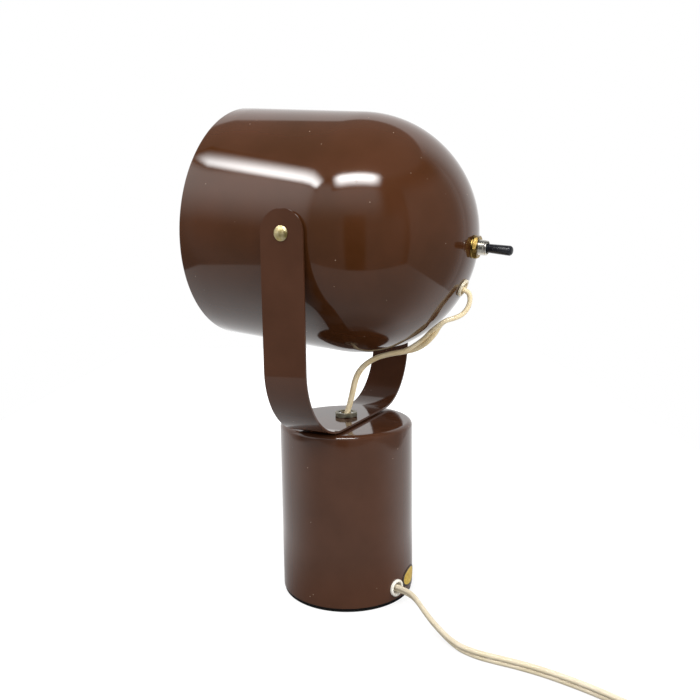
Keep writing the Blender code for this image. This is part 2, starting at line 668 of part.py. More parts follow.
def build_switch(finishes, frame):
    """The toggle switch: its body inside, and the bushing, washer and nut on the shade's pole."""
    profile = [
        (BUSHING_RADIUS - EDGE_BREAK, BUSHING_END),
        (BUSHING_RADIUS, BUSHING_END - EDGE_BREAK),
        (BUSHING_RADIUS, SWITCH_BACK + GAP),
        (BUSHING_BORE, SWITCH_BACK + GAP),
        (BUSHING_BORE, BUSHING_END - BUSHING_FLARE),
        (BUSHING_MOUTH, BUSHING_END),
    ]
    turned("switch_bushing", profile, finishes["nickel"], parent=frame)
    low = SHADE_DOME_CENTRE + math.sqrt(SHADE_RADIUS**2 - BUSHING_CLEAR**2) + GAP
    washer("switch_washer", BUSHING_CLEAR, SWITCH_WASHER_RADIUS, low, low + SWITCH_WASHER_THICKNESS,
           finishes["dark_brass"], parent=frame)
    low += SWITCH_WASHER_THICKNESS + GAP
    hex_nut("switch_nut", SWITCH_NUT_FLATS, low, low + SWITCH_NUT_HEIGHT, BUSHING_CLEAR,
            finishes["brass"], parent=frame)

    body = block("switch_body", (-SWITCH_WIDTH / 2, -SWITCH_TALL / 2, SWITCH_FRONT),
                 (SWITCH_WIDTH / 2, SWITCH_TALL / 2, SWITCH_BACK), finishes["phenolic"], parent=frame)
    soften(body, SWITCH_EDGE, 2)
    cavity = rod_cutter("switch_cavity", SWITCH_CAVITY_RADIUS, SWITCH_BACK - SWITCH_CAVITY_DEPTH,
                        SWITCH_BACK + OVERRUN, parent=frame)
    combine(body, cavity, "DIFFERENCE")


def build_lever(finishes, frame):
    """The toggle lever: its own Z runs from its ball out to its tip."""
    neck = LEVER_BALL_RADIUS * math.cos(math.radians(40))
    profile = [(0, LEVER_LENGTH)]
    profile += arc((LEVER_TIP_RADIUS - LEVER_TIP_ROUND, LEVER_LENGTH - LEVER_TIP_ROUND), LEVER_TIP_ROUND,
                   90, 0)
    root = LEVER_BALL_RADIUS * math.sin(math.radians(40))
    profile += [(LEVER_ROOT_RADIUS, root + LEVER_BALL_DEPTH / 2), (neck, root)]
    profile += arc((0, 0), LEVER_BALL_RADIUS, 28, -60, 5)
    foot = LEVER_BALL_RADIUS * math.sin(math.radians(60))
    profile += [(LEVER_TAIL_RADIUS, -foot), (LEVER_TAIL_RADIUS, -LEVER_TAIL_LENGTH),
                (0, -LEVER_TAIL_LENGTH)]
    turned("switch_lever", profile, finishes["black_plastic"], closed=False, steps=TINY_STEPS, parent=frame)


def build_socket(finishes, frame):
    """The bracket on the switch bushing, and the lamp socket with its shell, contact and screws."""
    reach, arm = BRACKET_REACH, BRACKET_WIDTH / 2
    thick = BRACKET_THICKNESS
    outline = [
        (-reach, BRACKET_BACK),
        (arm, BRACKET_BACK),
        (arm, BRACKET_BACK - thick),
        (thick - reach, BRACKET_BACK - thick),
        (thick - reach, BRACKET_FRONT),
        (arm, BRACKET_FRONT),
        (arm, BRACKET_FRONT - thick),
        (-reach, BRACKET_FRONT - thick),
    ]
    bracket = plate("socket_bracket", [outline], arm, finishes["steel"], parent=frame,
                    rotation=(math.radians(90), 0, 0))
    hole = rod_cutter("bracket_switch_hole", BUSHING_CLEAR, BRACKET_BACK - thick - OVERRUN,
                      BRACKET_BACK + OVERRUN, parent=frame)
    combine(bracket, hole, "DIFFERENCE")

    bore = SCREW_SHELL_RADIUS + GAP
    profile = [
        (0, SOCKET_BACK),
        (SOCKET_RADIUS - SOCKET_RIM, SOCKET_BACK),
        (SOCKET_RADIUS, SOCKET_BACK - SOCKET_RIM),
        (SOCKET_RADIUS, SOCKET_FRONT + SOCKET_RIM),
        (SOCKET_RADIUS - SOCKET_RIM, SOCKET_FRONT),
        (bore, SOCKET_FRONT),
        (bore, SOCKET_BED),
        (0, SOCKET_BED),
    ]
    body = turned("socket_body", profile, finishes["porcelain"], closed=False, steps=MEDIUM_STEPS,
                  parent=frame)
    shell_top = SOCKET_BED - GAP
    washer("socket_screw_shell", SCREW_SHELL_RADIUS - SCREW_SHELL_WALL, SCREW_SHELL_RADIUS,
           shell_top - SCREW_SHELL_LENGTH, shell_top, finishes["brass"], steps=MEDIUM_STEPS, parent=frame)
    turned("socket_contact", [(0, shell_top), (CONTACT_RADIUS, shell_top), (CONTACT_RADIUS, CONTACT_FRONT),
                              (0, CONTACT_FRONT)], finishes["brass"], closed=False, parent=frame)
    for word, side in (("right", 1), ("left", -1)):
        place = {"parent": frame, "location": (0, side * SOCKET_SCREW_SPACING / 2, 0)}
        seat = BRACKET_FRONT + GAP
        profile = [
            (0, seat + SOCKET_SCREW_HEAD_HEIGHT),
            (SOCKET_SCREW_HEAD - EDGE_BREAK, seat + SOCKET_SCREW_HEAD_HEIGHT),
            (SOCKET_SCREW_HEAD, seat + SOCKET_SCREW_HEAD_HEIGHT - EDGE_BREAK),
            (SOCKET_SCREW_HEAD, seat),
            (SOCKET_SCREW_RADIUS, seat),
            (SOCKET_SCREW_RADIUS, seat - SOCKET_SCREW_LENGTH),
            (0, seat - SOCKET_SCREW_LENGTH),
        ]
        turned(f"socket_screw_{word}", profile, finishes["steel"], closed=False, steps=TINY_STEPS, **place)
        cut = rod_cutter(f"socket_screw_hole_{word}", SCREW_CLEAR, seat - SOCKET_SCREW_LENGTH - GAP,
                         seat + OVERRUN, steps=TINY_STEPS, **place)
        combine(bracket, cut, "DIFFERENCE")
        combine(body, cut, "DIFFERENCE")


def build_bulb(finishes, frame):
    """A pear-shaped glass bulb, open at its neck, in its screw cap."""
    neck = CAP_RADIUS - CAP_WALL - GAP
    neck_top = CAP_MOUTH + BULB_NECK_INSERT
    inner = bulb_side(BULB_RADIUS - BULB_WALL, neck - BULB_WALL)
    outer = bulb_side(BULB_RADIUS, neck)
    profile = inner + [(neck - BULB_WALL, neck_top), (neck, neck_top)] + outer[::-1]
    turned("bulb_glass", profile, finishes["glass"], closed=False, steps=MEDIUM_STEPS, parent=frame)
    cap = [
        (0, BULB_TAIL),
        (CAP_NOSE_RADIUS, BULB_TAIL),
        (CAP_RADIUS, CAP_SHOULDER),
        (CAP_RADIUS, CAP_MOUTH),
        (CAP_RADIUS - CAP_WALL, CAP_MOUTH),
        (CAP_RADIUS - CAP_WALL, neck_top + GAP),
        (0, neck_top + GAP),
    ]
    turned("bulb_cap", cap, finishes["aluminium"], closed=False, steps=MEDIUM_STEPS, parent=frame)


def bulb_side(radius, neck):
    """The bulb's side from its tip to its neck: a ball that flows into the neck's cylinder."""
    centre = BULB_TIP + BULB_RADIUS
    turn = math.degrees(BULB_NECK_ANGLE)
    ball = arc((0, centre), radius, -90, turn - 90, BULB_BALL_STEPS)
    ball[0] = (0, centre - radius)
    start_radius, start = ball[-1]
    slope = -math.tan(BULB_NECK_ANGLE - math.radians(90))
    reach = CAP_MOUTH - start
    side = []
    for k in range(1, BULB_NECK_STEPS + 1):
        t = k / BULB_NECK_STEPS
        bow = (2 * t**3 - 3 * t**2 + 1) * start_radius + (t**3 - 2 * t**2 + t) * reach * slope
        side.append((bow + (3 * t**2 - 2 * t**3) * neck, start + reach * t))
    return ball + side


def build_wires(finishes, frame):
    """The two cores of the flex inside the shade, and the switched wire to the socket."""
    angle = SHADE_GROMMET_ANGLE
    out = Vector((0, math.sin(angle), math.cos(angle)))
    centre = Vector((0, 0, SHADE_DOME_CENTRE))
    inner_end = SHADE_RADIUS - SHADE_GROMMET_DEPTH
    side = Vector((WIRE_SPREAD, 0, 0))
    start = centre + out * inner_end
    bend = centre + out * (inner_end - 4 * WIRE_RADIUS)
    low = SWITCH_TALL / 2 + GAP
    mid = (SWITCH_BACK + SWITCH_FRONT) / 2
    live_end = Vector((-WIRE_SPREAD, low, mid))
    live = [start - side, bend - side, live_end + Vector((0, 3 * WIRE_RADIUS, WIRE_RADIUS)), live_end]
    tube("wire_live", smooth_route(live, 2.5 * WIRE_RADIUS), WIRE_RADIUS, finishes["wire_black"],
         parent=frame, resolution=1)

    rim = SOCKET_RADIUS - SOCKET_RIM - 2 * WIRE_RADIUS
    socket_end = Vector((WIRE_SPREAD, rim, SOCKET_BACK + GAP))
    beside = Vector((WIRE_SPREAD, rim, SWITCH_FRONT))
    neutral = [start + side, bend + side, (bend + side).lerp(beside, 0.5) + out * WIRE_RADIUS, beside,
               socket_end + Vector((0, 0, 3 * WIRE_RADIUS)), socket_end]
    tube("wire_neutral", smooth_route(neutral, 3 * WIRE_RADIUS), WIRE_RADIUS, finishes["wire_white"],
         parent=frame, resolution=1)

    switched_start = Vector((0, -SWITCH_TALL / 4, SWITCH_FRONT - GAP))
    switched_end = Vector((0, -rim, SOCKET_BACK + GAP))
    switched = [switched_start, switched_start - Vector((0, 0, 2 * WIRE_RADIUS)),
                Vector((0, -rim, BRACKET_FRONT + 2 * WIRE_RADIUS)), switched_end]
    tube("wire_switched", smooth_route(switched, 2.5 * WIRE_RADIUS), WIRE_RADIUS, finishes["wire_black"],
         parent=frame, resolution=1)


def build_inner_lead(finishes):
    """The lead inside the base: in along the ballast's channel, then up the pipe."""
    azimuth = BASE_GROMMET_AZIMUTH
    start = Vector(LEAD_ROUTE[0])
    start_radius = math.hypot(start.x, start.y) - GAP
    lift = PIPE_FOOT - BASE_GROMMET_HEIGHT
    line = [(start_radius * share, BASE_GROMMET_HEIGHT) for share in INNER_RUN_SHARES]
    for in_share, up_share in INNER_BEND_SHARES:
        line.append((POCKET_RADIUS * in_share, BASE_GROMMET_HEIGHT + lift * up_share))
    line += [(0, PIPE_FOOT + POCKET_DEPTH / 4), (0, PIPE_FOOT + POCKET_DEPTH)]
    route = [(r * math.sin(azimuth), r * math.cos(azimuth), z) for r, z in line]
    points = smooth_route(route, INNER_STEP)
    points.append((0, 0, FLEX_ROUTE[0][2] - GAP))
    tube("lead_inner", points, CORD_TUBE_RADIUS, finishes["cream"])
    face = BASE_RADIUS - BASE_GROMMET_DEPTH - GAP
    washer("lead_stop", CORD_TUBE_RADIUS + GAP, LEAD_STOP_RADIUS, face - LEAD_STOP_LENGTH, face,
           finishes["steel"], location=(0, 0, BASE_GROMMET_HEIGHT), rotation=outward(azimuth))


def coil_point(turns):
    """The coil's middle line: in on the lower layer, up where it turns back, and out on the upper."""
    half = COIL_TURNS / 2
    radius = COIL_INNER + COIL_PITCH * abs(turns - half)
    rise = min(1.0, max(0.0, (turns - half) * 2 + 0.5))
    height = COIL_LOW + COIL_LAYER_STEP * (3 * rise**2 - 2 * rise**3)
    angle = COIL_START - 2 * math.pi * turns
    return Vector((COIL_CENTRE[0] + radius * math.cos(angle), COIL_CENTRE[1] + radius * math.sin(angle),
                   height))


def coil_line():
    """Every point of the wound lead, from the free lead's end to the plug's neck."""
    count = math.ceil(COIL_TURNS * COIL_POINTS_PER_TURN)
    points = [coil_point(COIL_TURNS * k / count) for k in range(count + 1)]
    start = (points[0] - points[1]).normalized()
    start.z = 0
    start_point = points[0] + start * 2 * CORD_TUBE_RADIUS
    end = points[-1] - points[-2]
    end.z = 0
    end.normalize()
    tail = []
    for share in (*TAIL_SLOPE_SHARES, 1):
        fall = min(1, share / TAIL_SLOPE_SHARES[-1])
        point = points[-1] + end * TAIL_LENGTH * share
        point.z = COIL_HIGH + (PLUG_HEIGHT - COIL_HIGH) * (3 * fall**2 - 2 * fall**3)
        tail.append(point)
    return [start_point] + points + tail, end


def least_gap(points, radius, apart):
    """The least distance between the tube's surfaces where it passes itself, on points of its line."""
    fine = []
    for a, b in zip(points, points[1:]):
        fine += [a, (a + b) / 2]
    least = math.inf
    skip = math.ceil(apart / (fine[1] - fine[0]).length)
    for i, p in enumerate(fine):
        for q in fine[i + skip:]:
            least = min(least, (p - q).length)
    return least - 2 * radius


def build_lead(finishes):
    """The mains lead from the grommet, its coil with the tie, and the plug."""
    coil, heading = coil_line()
    gap = least_gap(coil, CORD_TUBE_RADIUS, COIL_INNER * 2)
    length = sum((b - a).length for a, b in zip(coil, coil[1:]))
    print(f"coil: least gap to itself {gap * 1000:.2f} mm, length {length:.3f} m")
    towards = (coil[0] - coil[1]).normalized()
    join = coil[0] + towards * GAP
    run_in = join + towards * 2 * CORD_TUBE_RADIUS
    free = smooth_route([*LEAD_ROUTE, tuple(run_in)], CORD_STEP) + [tuple(join)]
    tube("mains_lead", free, CORD_TUBE_RADIUS, finishes["cream"])
    tube("lead_coil", [tuple(p) for p in coil], CORD_TUBE_RADIUS, finishes["cream"], resolution=1)
    build_tie(finishes)
    build_plug(finishes, coil[-1] + heading * GAP, heading)
    length = sum((Vector(b) - Vector(a)).length for a, b in zip(free, free[1:]))
    print(f"free lead: {length:.3f} m")
    flex = smooth_route(FLEX_ROUTE, FLEX_STEP)
    tube("jumper_flex", flex, CORD_TUBE_RADIUS, finishes["cream"])
    length = sum((Vector(b) - Vector(a)).length for a, b in zip(flex, flex[1:]))
    print(f"jumper flex: {length:.3f} m")


def build_tie(finishes):
    """A thin band round all the coil's turns."""
    passes = [(COIL_START - TIE_ANGLE) / (2 * math.pi) + k for k in range(math.floor(COIL_TURNS))]
    radii = [COIL_INNER + COIL_PITCH * abs(turns - COIL_TURNS / 2) for turns in passes]
    low, high = COIL_LOW - CORD_WIDTH / 2 - GAP, COIL_HIGH + CORD_WIDTH / 2 + GAP
    near, far = min(radii) - CORD_TUBE_RADIUS - GAP, max(radii) + CORD_TUBE_RADIUS + GAP
    rings = []
    for grow in (0, TIE_THICKNESS):
        corner = CORD_TUBE_RADIUS + grow
        ring = []
        for x, z, start in ((far, high, 0), (near, high, 90), (near, low, 180), (far, low, 270)):
            cx = x + (grow - corner) * (1 if x == far else -1)
            cz = z + (grow - corner) * (1 if z == high else -1)
            ring += arc((cx, cz), corner, start, start + 90)
        rings.append(ring)
    plate("coil_tie", rings, TIE_WIDTH / 2, finishes["tie"], location=(*COIL_CENTRE, 0),
          rotation=(math.radians(90), 0, TIE_ANGLE))


def build_plug(finishes, mouth, heading):
    """A flat moulded plug at the coil's free end, with its two blades."""
    frame = add_object("plug_frame", None, location=(mouth.x, mouth.y, PLUG_HEIGHT),
                       rotation=(0, 0, math.atan2(heading.y, heading.x)))
    half = PLUG_WIDTH / 2
    end = PLUG_NECK_LENGTH + PLUG_LENGTH
    outline = [(0, -PLUG_NECK_WIDTH / 2 + PLUG_EDGE), (0, PLUG_NECK_WIDTH / 2 - PLUG_EDGE)]
    outline += [(PLUG_NECK_LENGTH, PLUG_NECK_WIDTH / 2)]
    outline += arc((PLUG_NECK_LENGTH + PLUG_CORNER, half - PLUG_CORNER), PLUG_CORNER, 130, 90)
    outline += arc((end - PLUG_CORNER, half - PLUG_CORNER), PLUG_CORNER, 90, 0)
    outline += [(x, -y) for x, y in outline[:1:-1]]
    body = plate("plug_body", [outline], PLUG_THICKNESS / 2, finishes["ivory"], parent=frame)
    soften(body, PLUG_EDGE, 2)
    for word, side in (("right", 1), ("left", -1)):
        seat = end - BLADE_SEAT
        tip = end + BLADE_LENGTH
        wide = BLADE_WIDTH / 2
        place = {"parent": frame, "location": (0, side * BLADE_SPACING / 2, 0),
                 "rotation": (math.radians(90), 0, 0)}
        shape = [(seat, -wide)] + arc((tip - wide / 2, -wide / 2), wide / 2, -90, 0)
        shape += arc((tip - wide / 2, wide / 2), wide / 2, 0, 90) + [(seat, wide)]
        hole = arc((tip - BLADE_HOLE_INSET, 0), BLADE_HOLE, 0, 360, ARC_STEPS)[1:]
        plate(f"plug_blade_{word}", [shape, hole], BLADE_THICKNESS / 2, finishes["brass"], **place)
        low = (seat - GAP, (side * BLADE_SPACING - BLADE_THICKNESS) / 2 - GAP, -wide - GAP)
        high = (end + OVERRUN, (side * BLADE_SPACING + BLADE_THICKNESS) / 2 + GAP, wide + GAP)
        combine(body, block(f"blade_slot_{word}", low, high, parent=frame), "DIFFERENCE")


def make_finishes():
    return {
        "enamel": make_finish("brown_enamel", "#4A2A1E", 0.12),
        "felt": make_finish("black_felt", "#161616", 0.95),
        "ivory": make_finish("ivory_vinyl", "#EFE6CE", 0.45),
        "cream": make_finish("cream_vinyl", "#E2CFA6", 0.40),
        "foil": make_finish("gold_foil", "#C79A3C", 0.30, 1.0),
        "iron": make_finish("cast_iron", "#3A3A3C", 0.60, 0.8),
        "steel": make_finish("zinc_steel", "#A9A9A6", 0.35, 1.0),
        "nickel": make_finish("nickel", "#B8B5AD", 0.25, 1.0),
        "brass": make_finish("brass", "#C9A24E", 0.28, 1.0),
        "dark_brass": make_finish("dark_brass", "#7A5A2A", 0.40, 1.0),
        "fibre": make_finish("fibre", "#2B2622", 0.80),
        "phenolic": make_finish("phenolic", "#2A1C16", 0.40),
        "black_plastic": make_finish("black_plastic", "#15161A", 0.30),
        "porcelain": make_finish("porcelain", "#EDEBE4", 0.15),
        "glass": make_finish("frosted_glass", "#F4F4F0", 0.35, 0.0, 0.6),
        "aluminium": make_finish("aluminium", "#C2C2C0", 0.30, 1.0),
        "wire_black": make_finish("black_wire", "#1A1A1A", 0.50),
        "wire_white": make_finish("white_wire", "#E8E6DE", 0.50),
        "tie": make_finish("tie_plastic", "#D8D4C8", 0.50),
    }


def main():
    for thing in list(bpy.data.objects):
        bpy.data.objects.remove(thing)
    new_collection("table_lamp")
    new_collection("cutters")
    finishes = make_finishes()

    yoke_frame = add_object("yoke_frame", None, location=(0, 0, YOKE_FOOT))
    tilt = (-math.radians(90) - SHADE_TILT, 0, 0)
    shade_frame = add_object("shade_frame", None, location=(0, 0, PIVOT_HEIGHT), rotation=tilt)
    lever_frame = add_object("lever_frame", None, parent=shade_frame, location=(0, 0, LEVER_BALL),
                             rotation=(0, LEVER_THROW, 0))
    build_base(finishes)
    build_inner_lead(finishes)
    build_yoke(finishes, yoke_frame)
    for word, side in (("right", 1), ("left", -1)):
        build_pivot(word, side, finishes, yoke_frame, shade_frame)
    build_shade(finishes, shade_frame)
    build_switch(finishes, shade_frame)
    build_lever(finishes, lever_frame)
    build_socket(finishes, shade_frame)
    build_bulb(finishes, shade_frame)
    build_wires(finishes, shade_frame)
    build_lead(finishes)


main()
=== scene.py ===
"""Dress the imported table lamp: finer meshes, real finishes, a plain studio and its camera."""

import sys
import logging
import math
from abc import ABC, abstractmethod
from dataclasses import dataclass, field, replace
from enum import Enum
from itertools import pairwise
from typing import Callable, Iterable, Optional, Sequence

import bmesh
import bpy
from mathutils import Matrix, Vector


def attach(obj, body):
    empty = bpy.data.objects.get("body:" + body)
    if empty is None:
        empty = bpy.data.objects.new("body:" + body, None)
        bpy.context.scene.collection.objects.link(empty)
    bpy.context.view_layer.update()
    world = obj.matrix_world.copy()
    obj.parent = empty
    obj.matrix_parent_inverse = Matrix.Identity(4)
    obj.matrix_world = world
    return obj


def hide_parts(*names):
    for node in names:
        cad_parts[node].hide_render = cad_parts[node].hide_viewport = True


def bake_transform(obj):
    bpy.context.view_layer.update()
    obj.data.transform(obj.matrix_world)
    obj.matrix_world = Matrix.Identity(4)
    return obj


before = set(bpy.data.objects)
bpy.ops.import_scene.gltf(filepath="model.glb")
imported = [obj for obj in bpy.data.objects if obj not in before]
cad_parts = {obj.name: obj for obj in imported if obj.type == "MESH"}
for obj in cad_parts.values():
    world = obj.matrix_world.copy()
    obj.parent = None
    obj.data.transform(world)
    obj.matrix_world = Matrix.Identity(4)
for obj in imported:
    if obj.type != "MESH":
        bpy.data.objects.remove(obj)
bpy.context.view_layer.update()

LOG = logging.getLogger("table_lamp")
MM = 0.001
NEAR = 1e-6
FINE_SIDES = 192
ROUND_SIDES = 64
SMALL_SIDES = 40
SMOOTH_ANGLE = math.radians(32)
SOFT_ANGLE = math.radians(50)
QUARTER = math.radians(90)
FULL_TURN = 2 * math.pi
UP = Vector((0, 0, 1))
WHITE = (1, 1, 1, 1)

# Settings that several nodes share.
COLOURS = {"data_type": "RGBA"}
NUMBERS = {"data_type": "FLOAT"}
SMOOTH = {"interpolation_type": "SMOOTHSTEP"}
PRODUCT = {"operation": "MULTIPLY"}
EITHER = {"operation": "ADD", "use_clamp": True}
UNIT = {"operation": "NORMALIZE"}
ALONG = {"operation": "DOT_PRODUCT"}
# A glow's hard edge keeps this much of a fade, because a range can't be empty.
SIDE_FADE = 0.01
EDGE_FADE = 0.001

Piece = bpy.types.Object
Socket = bpy.types.NodeSocket
Tree = bpy.types.NodeTree
Ring = tuple[float, float]
Spot = tuple[float, float, float]
Colour = tuple[float, float, float, float]


class Body(Enum):
    """The parts of the lamp that move as one."""

    BASE = "base"
    YOKE = "yoke"
    SHADE = "shade"
    LEVER = "lever"


class Slot(Enum):
    """The record's material slots."""

    ENAMEL = "brown_enamel"
    FELT = "black_felt"
    IVORY = "ivory_vinyl"
    CREAM = "cream_vinyl"
    FOIL = "gold_foil"
    IRON = "cast_iron"
    STEEL = "zinc_steel"
    NICKEL = "nickel"
    BRASS = "brass"
    DARK_BRASS = "dark_brass"
    FIBRE = "fibre"
    PHENOLIC = "phenolic"
    BLACK_PLASTIC = "black_plastic"
    PORCELAIN = "porcelain"
    GLASS = "frosted_glass"
    ALUMINIUM = "aluminium"
    BLACK_WIRE = "black_wire"
    WHITE_WIRE = "white_wire"
    TIE = "tie_plastic"


class Closing(Enum):
    """Whether a turned piece's last ring is joined to its first."""

    OPEN = "open"
    LOOP = "loop"


def linear(hex_colour: str) -> Colour:
    """Turn an sRGB hex colour to the linear colour that shaders take.

    Args:
        hex_colour: The colour as "#RRGGBB".

    Returns:
        Red, green, blue and an alpha of 1, linear.
    """
    digits = hex_colour.lstrip("#")
    channels = [int(digits[start:start + 2], 16) / 255 for start in (0, 2, 4)]
    red, green, blue = [c / 12.92 if c <= 0.04045 else ((c + 0.055) / 1.055) ** 2.4 for c in channels]
    return red, green, blue, 1.0


def add_node(tree: Tree, kind: str, settings: Optional[dict] = None, values: Optional[dict] = None,
             links: Optional[dict] = None) -> bpy.types.Node:
    """Add a node with its settings, socket values and links.

    Args:
        tree: The node tree that it goes in.
        kind: The shader node's type.
        settings: Its own settings by name; "stops" are a colour ramp's places and colours.
        values: Plain socket values, by the socket's name or number.
        links: The output that feeds a socket, by the socket's name or number.

    Returns:
        The new node.
    """
    node = tree.nodes.new("ShaderNode" + kind)
    for name, value in (settings or {}).items():
        if name != "stops":
            setattr(node, name, value)
            continue
        stops = node.color_ramp.elements
        while len(stops) < len(value):
            stops.new(1.0)
        for stop, (position, colour) in zip(stops, value):
            stop.position = position
            stop.color = colour
    for socket, value in (values or {}).items():
        node.inputs[socket].default_value = value
    for socket, output in (links or {}).items():
        tree.links.new(output, node.inputs[socket])
    return node


def bare_tree(owner: bpy.types.ID) -> Tree:
    """Give a material or a world its node tree with nothing in it yet.

    Args:
        owner: The material or the world.

    Returns:
        Its empty node tree.
    """
    owner.use_nodes = True
    owner.node_tree.nodes.clear()
    return owner.node_tree


def dim(tree: Tree, bright: Socket, place: Socket, limits: Sequence[float],
        shares: Sequence[float]) -> Socket:
    """Fade a brightness smoothly from one place to another.

    Args:
        tree: The node tree.
        bright: The brightness so far.
        place: What the fade follows.
        limits: Where the fade starts and ends, the lower one first.
        shares: The share of the brightness at each limit.

    Returns:
        The faded brightness.
    """
    fade = add_node(tree, "MapRange", settings=SMOOTH,
                    values={"From Min": limits[0], "From Max": limits[1], "To Min": shares[0],
                            "To Max": shares[1]}, links={"Value": place})
    return add_node(tree, "Math", settings=PRODUCT,
                    links={0: bright, 1: fade.outputs["Result"]}).outputs["Value"]


@dataclass(frozen=True)
class Ground:
    """What a material's nodes start from: its tree, object coordinates and noise in soft patches."""

    tree: Tree
    place: Socket
    patches: Socket


@dataclass(frozen=True)
class Finish:
    """A surface finish: what it is made of and how it takes light."""

    name: str
    slot: Slot
    tones: tuple[str, str]
    patch_mm: float = 12.0
    roughness: tuple[float, float] = (0.3, 0.4)
    grain_mm: float = 1.0
    relief_mm: float = 0.01
    metallic: float = 0.0
    sockets: tuple[tuple[str, float], ...] = ()
    patch_detail: float = 3.0
    patch_fineness: float = 0.55
    tone_edges: tuple[float, float] = (0.35, 0.65)
    polish_edges: tuple[float, float] = (0.3, 0.7)
    grain_detail: float = 2.0

    def material(self) -> bpy.types.Material:
        """Give the finish's material, which is made once.

        Returns:
            The material under this finish's name.
        """
        known = bpy.data.materials.get(self.name)
        if known is not None:
            return known
        material = bpy.data.materials.new(self.name)
        material.diffuse_color = linear(self.tones[1])
        tree = bare_tree(material)
        place = add_node(tree, "TexCoord").outputs["Object"]
        noise = add_node(tree, "TexNoise",
                         values={"Scale": 1 / (self.patch_mm * MM), "Detail": self.patch_detail,
                                 "Roughness": self.patch_fineness}, links={"Vector": place})
        ground = Ground(tree, place, noise.outputs["Fac"])
        shader = add_node(tree, "BsdfPrincipled",
                          values={"Metallic": self.metallic, **dict(self.sockets)},
                          links={"Base Color": self.colour(ground), "Roughness": self.polish(ground),
                                 "Normal": self.relief(ground)})
        add_node(tree, "OutputMaterial", links={"Surface": shader.outputs["BSDF"]})
        return material

    def colour(self, ground: Ground) -> Socket:
        """Draw soft patches between the two tones.

        Args:
            ground: What the nodes start from.

        Returns:
            The colour's output.
        """
        stops = tuple(zip(self.tone_edges, map(linear, self.tones)))
        return add_node(ground.tree, "ValToRGB", settings={"stops": stops},
                        links={"Fac": ground.patches}).outputs["Color"]

    def polish(self, ground: Ground) -> Socket:
        """Vary the roughness a little with the same patches.

        Args:
            ground: What the nodes start from.

        Returns:
            The roughness's output.
        """
        (start, end), (low, high) = self.polish_edges, self.roughness
        return add_node(ground.tree, "MapRange",
                        values={"From Min": start, "From Max": end, "To Min": low, "To Max": high},
                        links={"Value": ground.patches}).outputs["Result"]

    def relief(self, ground: Ground) -> Socket:
        """Raise a fine grain.

        Args:
            ground: What the nodes start from.

        Returns:
            The bumped normal's output.
        """
        grain = add_node(ground.tree, "TexNoise",
                         values={"Scale": 1 / (self.grain_mm * MM), "Detail": self.grain_detail},
                         links={"Vector": ground.place})
        return add_node(ground.tree, "Bump",
                        values={"Strength": 1.0, "Distance": self.relief_mm * MM},
                        links={"Height": grain.outputs["Fac"]}).outputs["Normal"]


@dataclass(frozen=True)
class Enamel(Finish):
    """Stoved enamel on pressed steel: glossy and a touch wavy, with sparse pinhead nicks."""

    nick_apart_mm: float = 4.0
    nick_mm: float = 0.24
    nick_fade: float = 1.6
    nick_depth_mm: float = 0.04
    nick_share: float = 0.03
    nick_tone: str = "#A08672"
    worn_patch_mm: float = 26.0
    worn_edges: tuple[float, float] = (0.5, 0.72)
    worn_share: float = 0.3

    def nicks(self, ground: Ground) -> Socket:
        """Find the sparse nicks.

        Args:
            ground: What the nodes start from.

        Returns:
            1 in a nick and 0 beside it.
        """
        tree = ground.tree
        cells = add_node(tree, "TexVoronoi", values={"Scale": 1 / (self.nick_apart_mm * MM)},
                         links={"Vector": ground.place}).outputs
        reach = self.nick_mm / self.nick_apart_mm
        dots = add_node(tree, "MapRange",
                        values={"From Min": reach, "From Max": self.nick_fade * reach, "To Min": 1.0,
                                "To Max": 0.0}, links={"Value": cells["Distance"]})
        chance = add_node(tree, "SeparateColor", links={"Color": cells["Color"]})
        worn = add_node(tree, "TexNoise", values={"Scale": 1 / (self.worn_patch_mm * MM)},
                        links={"Vector": ground.place})
        share = add_node(tree, "MapRange",
                         values={"From Min": self.worn_edges[0], "From Max": self.worn_edges[1],
                                 "To Min": self.nick_share, "To Max": self.worn_share},
                         links={"Value": worn.outputs["Fac"]})
        chosen = add_node(tree, "Math", settings={"operation": "LESS_THAN"},
                          links={0: chance.outputs["Red"], 1: share.outputs["Result"]})
        return add_node(tree, "Math", settings=PRODUCT,
                        links={0: dots.outputs["Result"], 1: chosen.outputs["Value"]}).outputs["Value"]

    def colour(self, ground: Ground) -> Socket:
        """Show the paler ground in the nicks.

        Args:
            ground: What the nodes start from.

        Returns:
            The colour's output.
        """
        return add_node(ground.tree, "Mix", settings=COLOURS, values={7: linear(self.nick_tone)},
                        links={0: self.nicks(ground), 6: super().colour(ground)}).outputs[2]

    def relief(self, ground: Ground) -> Socket:
        """Press the nicks into the flow marks of the coat.

        Args:
            ground: What the nodes start from.

        Returns:
            The bumped normal's output.
        """
        return add_node(ground.tree, "Bump", settings={"invert": True},
                        values={"Strength": 1.0, "Distance": self.nick_depth_mm * MM},
                        links={"Height": self.nicks(ground),
                               "Normal": super().relief(ground)}).outputs["Normal"]


